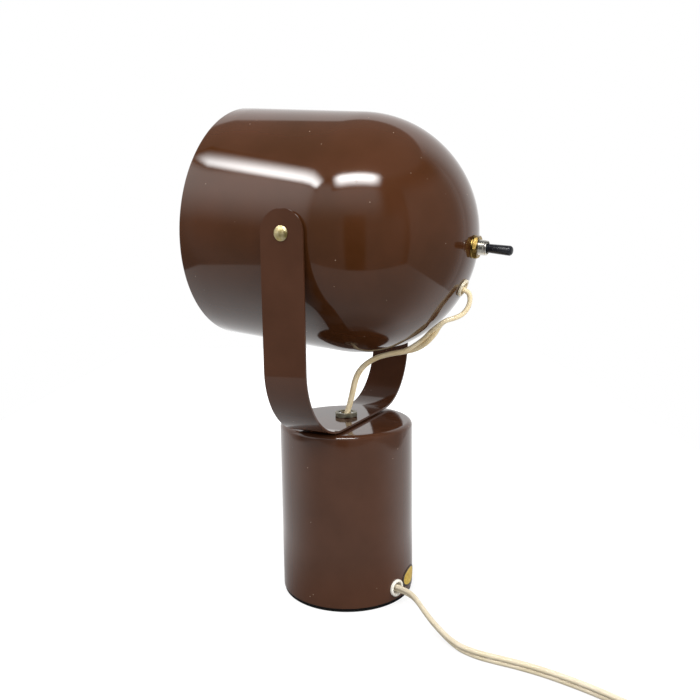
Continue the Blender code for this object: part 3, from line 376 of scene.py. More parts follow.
@dataclass(frozen=True)
class TurnedMetal(Finish):
    """Metal off a lathe: fine tool rings catch the light in short lines."""

    line_mm: float = 0.25
    line_depth_mm: float = 0.004
    line_strength: float = 0.6
    line_waver: float = 2.5

    def relief(self, ground: Ground) -> Socket:
        """Cut tool lines into the grain.

        Args:
            ground: What the nodes start from.

        Returns:
            The bumped normal's output.
        """
        lines = add_node(ground.tree, "TexWave",
                         settings={"wave_type": "BANDS", "bands_direction": "DIAGONAL"},
                         values={"Scale": 1 / (self.line_mm * MM * FULL_TURN), "Distortion": self.line_waver,
                                 "Detail": self.grain_detail}, links={"Vector": ground.place})
        return add_node(ground.tree, "Bump",
                        values={"Strength": self.line_strength, "Distance": self.line_depth_mm * MM},
                        links={"Height": lines.outputs["Fac"],
                               "Normal": super().relief(ground)}).outputs["Normal"]


@dataclass(frozen=True)
class CordVinyl(Finish):
    """Soft PVC cord sheath: waxy, with painted shade in the groove between its two cores."""

    # The groove's painted shade: its tone, the groove depths where it starts and where it is full, and its
    # strongest share.
    groove_shade_tone: str = "#A88A5C"
    groove_edges: tuple[float, float] = (0.55, 1.0)
    groove_shade_share: float = 0.75

    def colour(self, ground: Ground) -> Socket:
        """Darken the groove, which the mesh carries as an attribute: painted shade in the crease between the
        cores.

        Args:
            ground: What the nodes start from.

        Returns:
            The colour's output.
        """
        groove = add_node(ground.tree, "Attribute", settings={"attribute_name": "groove"})
        line = add_node(ground.tree, "MapRange",
                        values={"From Min": self.groove_edges[0], "From Max": self.groove_edges[1],
                                "To Min": 0.0, "To Max": self.groove_shade_share}, links={"Value": groove.outputs["Fac"]})
        return add_node(ground.tree, "Mix", settings=COLOURS, values={7: linear(self.groove_shade_tone)},
                        links={0: line.outputs["Result"], 6: super().colour(ground)}).outputs[2]


# Stoved enamel: a warm dark brown whose gloss comes from a smooth, slightly flowed film.
DEEP_ENAMEL = Enamel("stoved_deep_brown_enamel", Slot.ENAMEL, ("#442611", "#4C2B17"), patch_mm=40.0,
                     roughness=(0.06, 0.1), grain_mm=6.0, relief_mm=0.006)
# Base and strip: the same enamel, a little paler than the shade's.
BROWN_ENAMEL = replace(DEEP_ENAMEL, name="stoved_brown_enamel", tones=("#472A1A", "#4F3020"),
                       roughness=(0.07, 0.11))
# The same enamel in off-white, so that the bulb's light leaves the shade.
WHITE_ENAMEL = Enamel("stoved_white_enamel", Slot.ENAMEL, ("#E6E2D6", "#EFECE2"), patch_mm=30.0,
                      roughness=(0.3, 0.38), grain_mm=4.0, relief_mm=0.01, nick_tone="#B5AD9C")
# Pressed felt: dull black with a short nap.
BLACK_FELT = Finish("pressed_black_felt", Slot.FELT, ("#0C0C0C", "#141413"), patch_mm=3.0,
                    roughness=(0.9, 1.0), grain_mm=0.35, relief_mm=0.12,
                    sockets=(("Specular IOR Level", 0.2),))
# Moulded vinyl rings: near white and soft-edged, with a low waxy shine.
IVORY_VINYL = Finish("moulded_ivory_vinyl", Slot.IVORY, ("#F3EEE0", "#FAF6EC"), patch_mm=9.0,
                     roughness=(0.3, 0.38), grain_mm=2.0, relief_mm=0.003)
# The ring by the lamp's warmth has gone cream.
WARM_VINYL = replace(IVORY_VINYL, name="warmed_ivory_vinyl", tones=("#EFE2C2", "#F7EED8"))
# The plug's moulded vinyl: the lead's cream with a little less yellow, and a smooth low shine.
PLUG_VINYL = replace(IVORY_VINYL, name="moulded_plug_vinyl", tones=("#D6CCB4", "#DED5C0"))
# Extruded cord sheath: cream that has yellowed a little, waxy.
CREAM_VINYL = CordVinyl("extruded_cream_vinyl", Slot.CREAM, ("#D3C6A8", "#DCD0B8"), patch_mm=12.0,
                        roughness=(0.34, 0.42), grain_mm=1.5, relief_mm=0.003)
# The short flex by the lamp's warmth: the same sheath, more golden, and set near white so that it stays
# bright where the shade keeps the light off it: painted light, with a darker painted shade in its groove.
GOLDEN_VINYL_PAINTED_LIGHT = replace(CREAM_VINYL, name="golden_vinyl_painted_light", tones=("#F7E0B0", "#FFEFCB"),
                       roughness=(0.3, 0.38), groove_shade_tone="#9C7A48")
# Stamped foil: warm gold, softly crinkled.
GOLD_FOIL = Finish("stamped_gold_foil", Slot.FOIL, ("#D2A831", "#EBCB5E"), patch_mm=2.5,
                   roughness=(0.35, 0.5), grain_mm=0.8, relief_mm=0.03, metallic=0.45)
# The printed edge line of the foil: flat black-brown ink.
FOIL_EDGE = Finish("dark_foil_edge", Slot.FOIL, ("#2A211A", "#3A2E22"), patch_mm=2.0,
                   roughness=(0.4, 0.5), grain_mm=0.6, relief_mm=0.01)
# Cast iron: rough dark grey from the sand.
CAST_IRON = Finish("sand_cast_iron", Slot.IRON, ("#343436", "#46464A"), patch_mm=8.0,
                   roughness=(0.55, 0.7), grain_mm=0.9, relief_mm=0.12, metallic=0.9)
# Zinc-plated steel: pale grey, cloudy.
ZINC_STEEL = Finish("zinc_plated_steel", Slot.STEEL, ("#9B9C98", "#B7B7B2"), patch_mm=4.0,
                    roughness=(0.28, 0.42), grain_mm=0.4, relief_mm=0.006, metallic=1.0)
# Nickel plate over turned brass: bright with a warm cast.
NICKEL = TurnedMetal("turned_nickel", Slot.NICKEL, ("#C8C5BD", "#E0DDD5"), patch_mm=3.0,
                     roughness=(0.18, 0.28), grain_mm=0.5, relief_mm=0.003, metallic=1.0)
# Machined brass: yellow and bright, a little tarnished in patches.
BRASS = TurnedMetal("machined_brass", Slot.BRASS, ("#B98F3F", "#E3C274"), patch_mm=4.0,
                    roughness=(0.16, 0.3), grain_mm=0.5, relief_mm=0.004, metallic=1.0)
# Tarnished brass: brown over gold, on the switch's nut and washer.
TARNISHED_BRASS = replace(BRASS, name="tarnished_brass", tones=("#75602F", "#AF9456"), patch_mm=3.0,
                          roughness=(0.22, 0.36), relief_mm=0.005)
# Aged brass: brown-grey skin, duller.
DARK_BRASS = TurnedMetal("aged_brass", Slot.DARK_BRASS, ("#6E6B5C", "#A09B88"), patch_mm=3.0,
                         roughness=(0.34, 0.5), grain_mm=0.5, relief_mm=0.008, metallic=0.7)
# Brass worn dull on the screw heads: pale and satin.
WORN_BRASS = Finish("worn_brass", Slot.BRASS, ("#A8965E", "#CFC299"), patch_mm=2.5,
                    roughness=(0.34, 0.5), grain_mm=0.5, relief_mm=0.008, metallic=0.9)
# Vulcanised fibre: matt dark sheet.
FIBRE = Finish("vulcanised_fibre", Slot.FIBRE, ("#241F1B", "#322B25"), patch_mm=3.0,
               roughness=(0.6, 0.75), grain_mm=0.3, relief_mm=0.02)
# Pressed phenolic: brown-black and half glossy, with flow marks.
PHENOLIC = Finish("pressed_phenolic", Slot.PHENOLIC, ("#21150F", "#34211A"), patch_mm=6.0,
                  roughness=(0.22, 0.34), grain_mm=2.0, relief_mm=0.01)
# Polished black plastic: blue-black, with soft-edged highlights.
BLACK_PLASTIC = Finish("polished_black_plastic", Slot.BLACK_PLASTIC, ("#17181C", "#202228"), patch_mm=4.0,
                       roughness=(0.2, 0.3), grain_mm=0.9, relief_mm=0.008)
# Glazed porcelain: white under a thick clear glaze.
PORCELAIN = Finish("glazed_porcelain", Slot.PORCELAIN, ("#E6E3DA", "#F1EFE8"), patch_mm=10.0,
                   roughness=(0.08, 0.14), grain_mm=3.0, relief_mm=0.02)
# Frosted bulb glass: white and even, with a satin skin.
FROSTED_GLASS = Finish("frosted_bulb_glass", Slot.GLASS, ("#F1F1EC", "#F8F8F5"), patch_mm=20.0,
                       roughness=(0.3, 0.36), grain_mm=0.4, relief_mm=0.004,
                       sockets=(("Transmission Weight", 0.25), ("Subsurface Weight", 0.2),
                                ("Subsurface Scale", 0.003)))
# Rolled aluminium: light grey, satin.
ALUMINIUM = TurnedMetal("rolled_aluminium", Slot.ALUMINIUM, ("#B7B7B5", "#CFCFCD"), patch_mm=5.0,
                        roughness=(0.25, 0.36), grain_mm=0.5, relief_mm=0.004, metallic=1.0)
# Wire covering, black: dull vinyl.
BLACK_WIRE = Finish("black_wire_vinyl", Slot.BLACK_WIRE, ("#141414", "#1F1F1F"), patch_mm=5.0,
                    roughness=(0.4, 0.5), grain_mm=0.4, relief_mm=0.01)
# Wire covering, white: the same dull vinyl.
WHITE_WIRE = replace(BLACK_WIRE, name="white_wire_vinyl", slot=Slot.WHITE_WIRE, tones=("#DAD7CC", "#E8E5DB"))
# Moulded nylon tie: milky.
TIE_PLASTIC = Finish("moulded_nylon", Slot.TIE, ("#D2CEC0", "#DEDACE"), patch_mm=3.0,
                     roughness=(0.35, 0.45), grain_mm=0.4, relief_mm=0.008,
                     sockets=(("Subsurface Weight", 0.2), ("Subsurface Scale", 0.001)))


def let_go() -> None:
    """Leave edit mode and select nothing, so that an operator acts on the next piece alone."""
    if bpy.context.mode != "OBJECT":
        bpy.ops.object.mode_set(mode="OBJECT")
    bpy.ops.object.select_all(action="DESELECT")


def take(piece: Piece) -> None:
    """Select one piece alone and make it active.

    Args:
        piece: The piece to take.
    """
    let_go()
    piece.select_set(True)
    bpy.context.view_layer.objects.active = piece


def begin(name: str) -> Piece:
    """Name the primitive just added, put its place in its mesh and open it in edit mode.

    Args:
        name: The new piece's name.

    Returns:
        The piece, in edit mode.
    """
    piece = bpy.context.active_object
    piece.name = name
    piece.data.name = name
    bpy.ops.object.transform_apply(location=True, rotation=True, scale=True)
    bpy.ops.object.mode_set(mode="EDIT")
    return piece


def begin_block(name: str, add: Callable[..., set], size: Sequence[float],
                middle: Sequence[float] = (0, 0, 0)) -> Piece:
    """Add a square or a cube and draw it to its size about its middle.

    Args:
        name: The new piece's name.
        add: The operator that adds it.
        size: Its size along X, Y and Z.
        middle: Where its middle is.

    Returns:
        The piece, in edit mode and selected all over.
    """
    let_go()
    add(size=1, location=middle)
    piece = begin(name)
    bpy.ops.mesh.select_all(action="SELECT")
    bpy.ops.transform.resize(value=size, center_override=middle)
    return piece


def pick(piece: Piece, test: Callable[[Vector], bool], faces: bool = False) -> None:
    """Select a piece's vertices, or its faces, by their place.

    Args:
        piece: The piece, in edit mode.
        test: Whether a vertex, or a face's middle, is wanted.
        faces: Whether faces are picked instead of vertices.
    """
    bpy.ops.mesh.select_mode(type="FACE" if faces else "VERT")
    bpy.ops.mesh.select_all(action="DESELECT")
    mesh = bmesh.from_edit_mesh(piece.data)
    for element in mesh.faces if faces else mesh.verts:
        if test(element.calc_center_median() if faces else element.co):
            element.select_set(True)
    mesh.select_flush(True)
    bmesh.update_edit_mesh(piece.data)


def point_out() -> None:
    """Merge doubles, turn all faces outwards and leave edit mode."""
    bpy.ops.mesh.select_all(action="SELECT")
    bpy.ops.mesh.remove_doubles(threshold=NEAR)
    bpy.ops.mesh.normals_make_consistent(inside=False)
    bpy.ops.object.mode_set(mode="OBJECT")


def turn_rings(name: str, rings: Sequence[Ring], closing: Closing = Closing.OPEN,
               sides: int = ROUND_SIDES) -> Piece:
    """Draw a turned piece out of a circle, ring after ring along its own Z.

    Args:
        name: The piece's name.
        rings: Radius and height of each ring; a radius of 0 at either end closes it in a point.
        closing: Whether the last ring is joined to the first.
        sides: How many sides the circle has.

    Returns:
        The piece, in object mode.
    """
    start_pole = rings[0][1] if rings[0][0] <= NEAR else None
    drawn = rings[1:] if start_pole is not None else rings
    let_go()
    bpy.ops.mesh.primitive_circle_add(vertices=sides, radius=drawn[0][0], location=(0, 0, drawn[0][1]))
    piece = begin(name)
    bpy.ops.mesh.select_mode(type="VERT")
    bpy.ops.mesh.select_all(action="SELECT")
    for (radius, height), (next_radius, next_height) in pairwise(drawn):
        bpy.ops.mesh.extrude_region_move(TRANSFORM_OT_translate={"value": (0, 0, next_height - height)})
        if next_radius <= NEAR:
            bpy.ops.mesh.merge(type="CENTER")
            break
        share = next_radius / radius
        bpy.ops.transform.resize(value=(share, share, 1), center_override=(0, 0, 0))
    if start_pole is not None:
        close_ends(start_pole - drawn[0][1])
    if closing is Closing.LOOP:
        bpy.ops.mesh.select_all(action="DESELECT")
        bpy.ops.mesh.select_non_manifold()
        bpy.ops.mesh.bridge_edge_loops()
    point_out()
    return piece


def close_ends(rise: float) -> None:
    """Draw the open ring of the piece in edit mode to a point.

    Args:
        rise: How far along Z the point is from the ring.
    """
    bpy.ops.mesh.select_all(action="DESELECT")
    bpy.ops.mesh.select_non_manifold()
    bpy.ops.mesh.extrude_region_move(TRANSFORM_OT_translate={"value": (0, 0, rise)})
    bpy.ops.mesh.merge(type="CENTER")


def add_arc(centre: Ring, radius: float, start: float, end: float, steps: int) -> list[Ring]:
    """Give the rings of a rounded stretch, in radius and height.

    Args:
        centre: The rounding's centre.
        radius: The rounding's radius.
        start: The first angle, in degrees from outwards towards +Z.
        end: The last angle, in degrees.
        steps: How many steps it takes.

    Returns:
        The rings, both ends among them.
    """
    angles = [math.radians(start + (end - start) * k / steps) for k in range(steps + 1)]
    return [(centre[0] + radius * math.cos(a), centre[1] + radius * math.sin(a)) for a in angles]


def apply_modifier(piece: Piece, kind: str, **settings: object) -> None:
    """Add a modifier with its settings and apply it.

    Args:
        piece: The piece that it works on.
        kind: The modifier's type.
        **settings: The modifier's settings by name.
    """
    take(piece)
    modifier = piece.modifiers.new(kind.lower(), kind)
    for name, value in settings.items():
        setattr(modifier, name, value)
    bpy.ops.object.modifier_apply(modifier=modifier.name)


def cut(piece: Piece, tool: Piece, operation: str = "DIFFERENCE") -> None:
    """Cut a piece with a tool piece, which is then removed, and clear what the cut leaves doubled.

    Args:
        piece: The piece to cut.
        tool: The solid that cuts.
        operation: DIFFERENCE takes the tool away, INTERSECT keeps what both hold.
    """
    apply_modifier(piece, "BOOLEAN", operation=operation, object=tool, solver="EXACT")
    bpy.data.objects.remove(tool)
    bpy.ops.object.mode_set(mode="EDIT")
    bpy.ops.mesh.select_mode(type="VERT")
    bpy.ops.mesh.select_all(action="SELECT")
    bpy.ops.mesh.dissolve_degenerate(threshold=NEAR)
    point_out()


def make_drill(radius: float, low: float, high: float, place: Matrix) -> Piece:
    """Make a round cutter along a place's own Z.

    Args:
        radius: The cutter's radius.
        low: Its lower end.
        high: Its upper end.
        place: Where its own axes lie.

    Returns:
        The cutter.
    """
    drill = turn_rings("drill", [(0, low), (radius, low), (radius, high), (0, high)])
    settle(drill, place)
    return drill


def settle(piece: Piece, place: Optional[Matrix] = None, angle: float = SMOOTH_ANGLE) -> None:
    """Put a piece in its place, in its mesh, and shade it.

    Args:
        piece: The piece, in object mode.
        place: Where its own axes lie in the lamp, if they aren't the lamp's.
        angle: Edges sharper than this stay crisp.
    """
    take(piece)
    if place is not None:
        piece.matrix_world = place
        bpy.ops.object.transform_apply(location=True, rotation=True, scale=True)
    bpy.ops.object.shade_smooth_by_angle(angle=angle)


def hand_over(piece: Piece, finish: Finish, body: Body, *nodes: str) -> None:
    """Dress a finished piece, put it on its body and let it stand for its CAD nodes.

    Args:
        piece: The finished piece.
        finish: Its finish; a piece that has materials already keeps them.
        body: The body that it moves with.
        *nodes: The CAD nodes that it replaces.
    """
    if not piece.data.materials:
        piece.data.materials.append(finish.material())
    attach(piece, body.value)
    if nodes:
        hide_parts(*nodes)
    LOG.info("%s on %s, %d faces", piece.name, body.value, len(piece.data.polygons))


def dress_nodes(finish: Finish, *nodes: str) -> None:
    """Give CAD nodes whose shape is right a real finish.

    Args:
        finish: The finish.
        *nodes: The nodes' names.
    """
    for name in nodes:
        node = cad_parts[name]
        if not node.material_slots:
            node.data.materials.append(finish.material())
        for slot in node.material_slots:
            slot.material = finish.material()
        LOG.info("%s kept as it is, in %s", name, finish.name)


def face_along(out: Vector, spot: Vector) -> Matrix:
    """Give the place at a spot whose own Z points along a direction and whose own X is level.

    Args:
        out: The direction, one long.
        spot: Where the place is.

    Returns:
        The place's matrix.
    """
    side = UP.cross(out).normalized()
    return Matrix.Translation(spot) @ Matrix((side, out.cross(side), out)).transposed().to_4x4()


def add_object(data: bpy.types.ID) -> Piece:
    """Put new data in the scene as an object under its own name.

    Args:
        data: A mesh, a light or a camera.

    Returns:
        The object.
    """
    piece = bpy.data.objects.new(data.name, data)
    bpy.context.scene.collection.objects.link(piece)
    return piece


@dataclass(frozen=True)
class HexNut:
    """A hexagonal nut, two of whose corners point along its own Y."""

    flats: float
    low: float
    high: float
    bore: float
    chamfer: float = math.radians(30)
    lead_in: float = 0.3 * MM
    crisp: float = math.radians(20)

    def model(self, name: str, place: Optional[Matrix] = None) -> Piece:
        """Cut the nut's chamfers and bore out of a hexagonal bar.

        Args:
            name: The nut's name.
            place: Where its own axes lie.

        Returns:
            The nut, in its place.
        """
        half = self.flats / 2
        corner = half / math.cos(self.chamfer)
        let_go()
        bpy.ops.mesh.primitive_cylinder_add(vertices=6, radius=corner, depth=self.high - self.low,
                                            location=(0, 0, (self.low + self.high) / 2))
        nut = begin(name)
        point_out()
        over = self.lead_in
        reach = corner + over
        fall = (reach - half) * math.tan(self.chamfer)
        rings = [(self.bore, self.low + over), (self.bore + 2 * over, self.low - over),
                 (half, self.low - over), (half, self.low), (reach, self.low + fall)]
        rings += [(radius, self.low + self.high - height) for radius, height in reversed(rings)]
        cut(nut, turn_rings(name + "_lens", rings, Closing.LOOP), "INTERSECT")
        settle(nut, place, self.crisp)
        return nut


@dataclass(frozen=True)
class Grommet:
    """A soft ring that lines a cord's hole; its own Z points out of the wall."""

    bore: float = 3.8 * MM
    radius: float = 5.6 * MM
    inner_radius: float = 5.3 * MM
    neck: float = 4.6 * MM
    hole: float = 4.9 * MM
    proud: float = 1.6 * MM
    inner_flange: float = 1.2 * MM
    round_radius: float = 0.75 * MM
    steps: int = 6

    def model(self, name: str, depth: float, place: Matrix) -> Piece:
        """Turn the ring with both its flanges.

        Args:
            name: The ring's name.
            depth: How far its inner face is behind the wall's outer one.
            place: Where its own axes lie.

        Returns:
            The ring, in its place.
        """
        soft = self.round_radius
        rings = [(self.neck, 0.0), (self.radius, 0.0)]
        rings += add_arc((self.radius - soft, self.proud - soft), soft, 0, 90, self.steps)
        rings += add_arc((self.bore + soft, self.proud - soft), soft, 90, 180, self.steps)
        rings += [(self.bore, -depth), (self.inner_radius, -depth),
                  (self.inner_radius, self.inner_flange - depth), (self.neck, self.inner_flange - depth)]
        ring = turn_rings(name, rings, Closing.LOOP)
        settle(ring, place)
        return ring


@dataclass
class Base:
    """The weighted foot: an enamelled shell with its pad, lead hole and oval foil."""

    radius: float = 44.45 * MM
    height: float = 116.3 * MM
    foot: float = 2.3 * MM
    wall: float = 1.2 * MM
    shoulder: float = 3.2 * MM
    shoulder_steps: int = 10
    pipe_hole: float = 5.15 * MM
    edge: float = 0.4 * MM
    flat_margin: float = 3 * MM
    side_margin: float = 4 * MM
    pad_radius: float = 43.85 * MM
    pad_top: float = 2.0 * MM
    pad_edge: float = 0.5 * MM
    grommet_height: float = 10.3 * MM
    grommet_azimuth: float = math.radians(18.8)
    grommet_depth: float = 3.02 * MM
    hole_margin: float = 6 * MM
    drill_reach: tuple[float, float] = (-6 * MM, 4 * MM)
    label_size: tuple[float, float] = (21.2 * MM, 12.8 * MM)
    label_thick: float = 0.3 * MM
    label_lift: float = 0.1 * MM
    label_height: float = 12.1 * MM
    label_azimuth: float = math.radians(-3.4)
    label_edge_share: float = 0.84
    # Each ring's share of the oval and of its thickness: a dark raised rim round a gold field a bit lower.
    label_rings: tuple[Ring, ...] = (
        (1.0, 0.0), (0.97, 1.0), (0.93, 1.0), (0.88, 1.0), (0.84, 1.0), (0.81, 0.75), (0.7, 0.75),
        (0.55, 0.75), (0.4, 0.75), (0.2, 0.75), (0.0, 0.75))
    grommet: Grommet = field(default_factory=Grommet)

    def build(self) -> None:
        """Build and dress the base."""
        self.build_shell()
        self.build_pad()
        self.build_label()
        ring = self.grommet.model("lead_grommet", self.grommet_depth, self.grommet_place())
        hand_over(ring, IVORY_VINYL, Body.BASE, "base_grommet")
        dress_nodes(CAST_IRON, "ballast")
        dress_nodes(ZINC_STEEL, "bottom_plate", "ballast_locknut", "clamp_washer", "clamp_nut", "lead_stop")
        dress_nodes(NICKEL, "lamp_pipe")
        dress_nodes(FIBRE, "swivel_washer")
        dress_nodes(CREAM_VINYL, "lead_inner")

    def grommet_place(self) -> Matrix:
        """Give the place on the wall where the lead comes out, its own Z pointing out."""
        out = Vector((math.sin(self.grommet_azimuth), math.cos(self.grommet_azimuth), 0))
        return face_along(out, out * self.radius + UP * self.grommet_height)

    def build_shell(self) -> None:
        """Turn the pressed shell, with rings close together where the lead's hole is cut."""
        inner, top = self.radius - self.wall, self.height
        corner = (self.radius - self.shoulder, top - self.shoulder)
        flat = corner[0] - self.flat_margin
        hole = (self.grommet_height - self.hole_margin, self.grommet_height + self.hole_margin)
        rings = [(inner, self.foot), (self.radius - self.edge, self.foot)]
        rings += add_arc((self.radius - self.edge, self.foot + self.edge), self.edge, -60, 0, 3)
        rings += [(self.radius, height) for height in (*hole, corner[1] - self.side_margin)]
        rings += add_arc(corner, self.shoulder, 0, 90, self.shoulder_steps)
        rings += [(flat, top), (self.pipe_hole, top), (self.pipe_hole, top - self.wall),
                  (flat, top - self.wall)]
        rings += add_arc(corner, self.shoulder - self.wall, 90, 0, self.shoulder_steps)
        rings += [(inner, height) for height in reversed(hole)]
        shell = turn_rings("enamelled_base", rings, Closing.LOOP, FINE_SIDES)
        cut(shell, make_drill(self.grommet.hole, *self.drill_reach, self.grommet_place()))
        settle(shell)
        hand_over(shell, BROWN_ENAMEL, Body.BASE, "base_shell")

    def build_pad(self) -> None:
        """Turn the felt pad with soft edges."""
        soft = self.pad_edge
        inner = self.pad_radius - soft
        rings = [(0, 0), (inner, 0), *add_arc((inner, soft), soft, -60, 0, 3),
                 *add_arc((inner, self.pad_top - soft), soft, 0, 90, 4), (0, self.pad_top)]
        pad = turn_rings("felt_pad", rings, sides=FINE_SIDES)
        settle(pad)
        hand_over(pad, BLACK_FELT, Body.BASE, "base_pad")

    def build_label(self) -> None:
        """Draw the oval foil inwards ring by ring and lay it round the base."""
        rings = [(share, rise * self.label_thick) for share, rise in self.label_rings]
        foil = turn_rings("oval_foil", rings, sides=FINE_SIDES)
        length, tall = self.label_size
        for vertex in foil.data.vertices:
            angle = vertex.co.x * length / 2 / self.radius + self.label_azimuth
            reach = self.radius + self.label_lift + vertex.co.z
            vertex.co = (reach * math.sin(angle), reach * math.cos(angle),
                         self.label_height + vertex.co.y * tall / 2)
        take(foil)
        bpy.ops.object.mode_set(mode="EDIT")
        point_out()
        for finish in (GOLD_FOIL, FOIL_EDGE):
            foil.data.materials.append(finish.material())
        for face in foil.data.polygons:
            angle = math.atan2(face.center.x, face.center.y) - self.label_azimuth
            share = math.hypot(angle * self.radius / (length / 2),
                               (face.center.z - self.label_height) / (tall / 2))
            face.material_index = int(share > self.label_edge_share)
        settle(foil)
        hand_over(foil, GOLD_FOIL, Body.BASE, "base_label")


@dataclass
class Yoke:
    """The U-shaped strip that carries the shade, its nut and its pivots."""

    width: float = 27.8 * MM
    thick: float = 1.3 * MM
    foot: float = 117.3 * MM
    outer: float = 78.5 * MM
    bend: float = 44.8 * MM
    bend_steps: int = 28
    pivot_height: float = 240.6 * MM
    tip_steps: int = 24
    edge: float = 0.22 * MM
    edge_limit: float = math.radians(40)
    screw_radius: float = 2.3 * MM
    screw_end: float = 69.36 * MM
    screw_tip: float = 0.4 * MM
    head_radius: float = 4.4 * MM
    head_height: float = 1.9 * MM
    head_gap: float = 0.05 * MM
    head_rim: float = 0.35 * MM
    head_edge: tuple[float, float] = (0.2 * MM, 0.1 * MM)
    nut: HexNut = HexNut(14.3 * MM, 118.75 * MM, 121.5 * MM, 5.0 * MM)

    def build(self) -> None:
        """Build and dress the yoke."""
        self.build_strip()
        nut = self.nut.model("yoke_hex_nut")
        hand_over(nut, DARK_BRASS, Body.YOKE, "yoke_nut")
        for word, side in (("right", 1), ("left", -1)):
            self.build_screw(word, side)
        dress_nodes(FIBRE, "pivot_spacer_right", "pivot_spacer_left")

    def build_strip(self) -> None:
        """Draw the strip out from its middle: a flat, a bend, an arm and a round tip each side."""
        flat = self.outer - self.bend
        half = self.width / 2
        strip = begin_block("yoke_strip", bpy.ops.mesh.primitive_plane_add, (2 * flat, self.width, 1),
                            (0, 0, self.foot))
        for side in (1, -1):
            pick(strip, lambda spot: spot.x * side > flat - NEAR)
            bpy.ops.mesh.spin(steps=self.bend_steps, angle=side * QUARTER, axis=(0, 1, 0),
                              center=(side * flat, 0, self.foot + self.bend))
            pick(strip, lambda spot: spot.x * side > self.outer - NEAR)
            rise = self.pivot_height - self.foot - self.bend
            bpy.ops.mesh.extrude_region_move(TRANSFORM_OT_translate={"value": (0, 0, rise)})
            wide, high = half, 0.0
            for step in range(1, self.tip_steps):
                angle = QUARTER * step / self.tip_steps
                next_wide, next_high = half * math.cos(angle), half * math.sin(angle)
                bpy.ops.mesh.extrude_region_move(TRANSFORM_OT_translate={"value": (0, 0, next_high - high)})
                bpy.ops.transform.resize(value=(1, next_wide / wide, 1), center_override=(0, 0, 0))
                wide, high = next_wide, next_high
            bpy.ops.mesh.extrude_region_move(TRANSFORM_OT_translate={"value": (0, 0, half - high)})
            bpy.ops.mesh.merge(type="CENTER")
        point_out()
        apply_modifier(strip, "SOLIDIFY", thickness=self.thick, offset=self.inward(strip))
        cut(strip, make_drill(self.nut.bore, self.foot - self.bend, self.foot + self.bend, Matrix()))
        cut(strip, make_drill(self.screw_radius, -2 * self.outer, 2 * self.outer, self.pivot_place(1)))
        apply_modifier(strip, "BEVEL", width=self.edge, segments=2, limit_method="ANGLE",
                       angle_limit=self.edge_limit)
        settle(strip)
        apply_modifier(strip, "WEIGHTED_NORMAL", keep_sharp=True)
        hand_over(strip, BROWN_ENAMEL, Body.YOKE, "yoke")

    def pivot_place(self, side: int) -> Matrix:
        """Give the pivots' place, its own Z pointing right where side is 1 and left where it is -1."""
        return Matrix.Translation((0, 0, self.pivot_height)) @ Matrix.Rotation(side * QUARTER, 4, "Y")

    def inward(self, strip: Piece) -> float:
        """Tell Solidify which side of the strip's outer face is inside.

        Args:
            strip: The thin strip.

        Returns:
            1 where the faces point into the U and -1 where they point out of it.
        """
        floor = min(strip.data.polygons, key=lambda face: face.center.length)
        return 1.0 if floor.normal.z > 0 else -1.0

    def build_screw(self, word: str, side: int) -> None:
        """Turn a pivot screw with its domed head.

        Args:
            word: The side's name.
            side: 1 on the right and -1 on the left.
        """
        seat = self.outer + self.head_gap
        rise = self.head_height - self.head_rim
        sphere = (self.head_radius**2 + rise**2) / (2 * rise)
        middle = seat + self.head_height - sphere
        lowest = math.degrees(math.acos(self.head_radius / sphere))
        inset, low = self.head_edge
        rings = [(0, self.screw_end), (self.screw_radius - self.screw_tip, self.screw_end),
                 (self.screw_radius, self.screw_end + self.screw_tip), (self.screw_radius, seat),
                 (self.head_radius - inset, seat), (self.head_radius, seat + low)]
        rings += add_arc((0, middle), sphere, lowest, 86, 9) + [(0, seat + self.head_height)]
        screw = turn_rings(f"domed_screw_{word}", rings, sides=SMALL_SIDES)
        settle(screw, self.pivot_place(side))
        hand_over(screw, WORN_BRASS, Body.YOKE, f"pivot_screw_{word}")


SHADE_TILT = math.radians(6.04)
SHADE_PLACE = Matrix.Translation((0, 0, 240.6 * MM)) @ Matrix.Rotation(-QUARTER - SHADE_TILT, 4, "X")


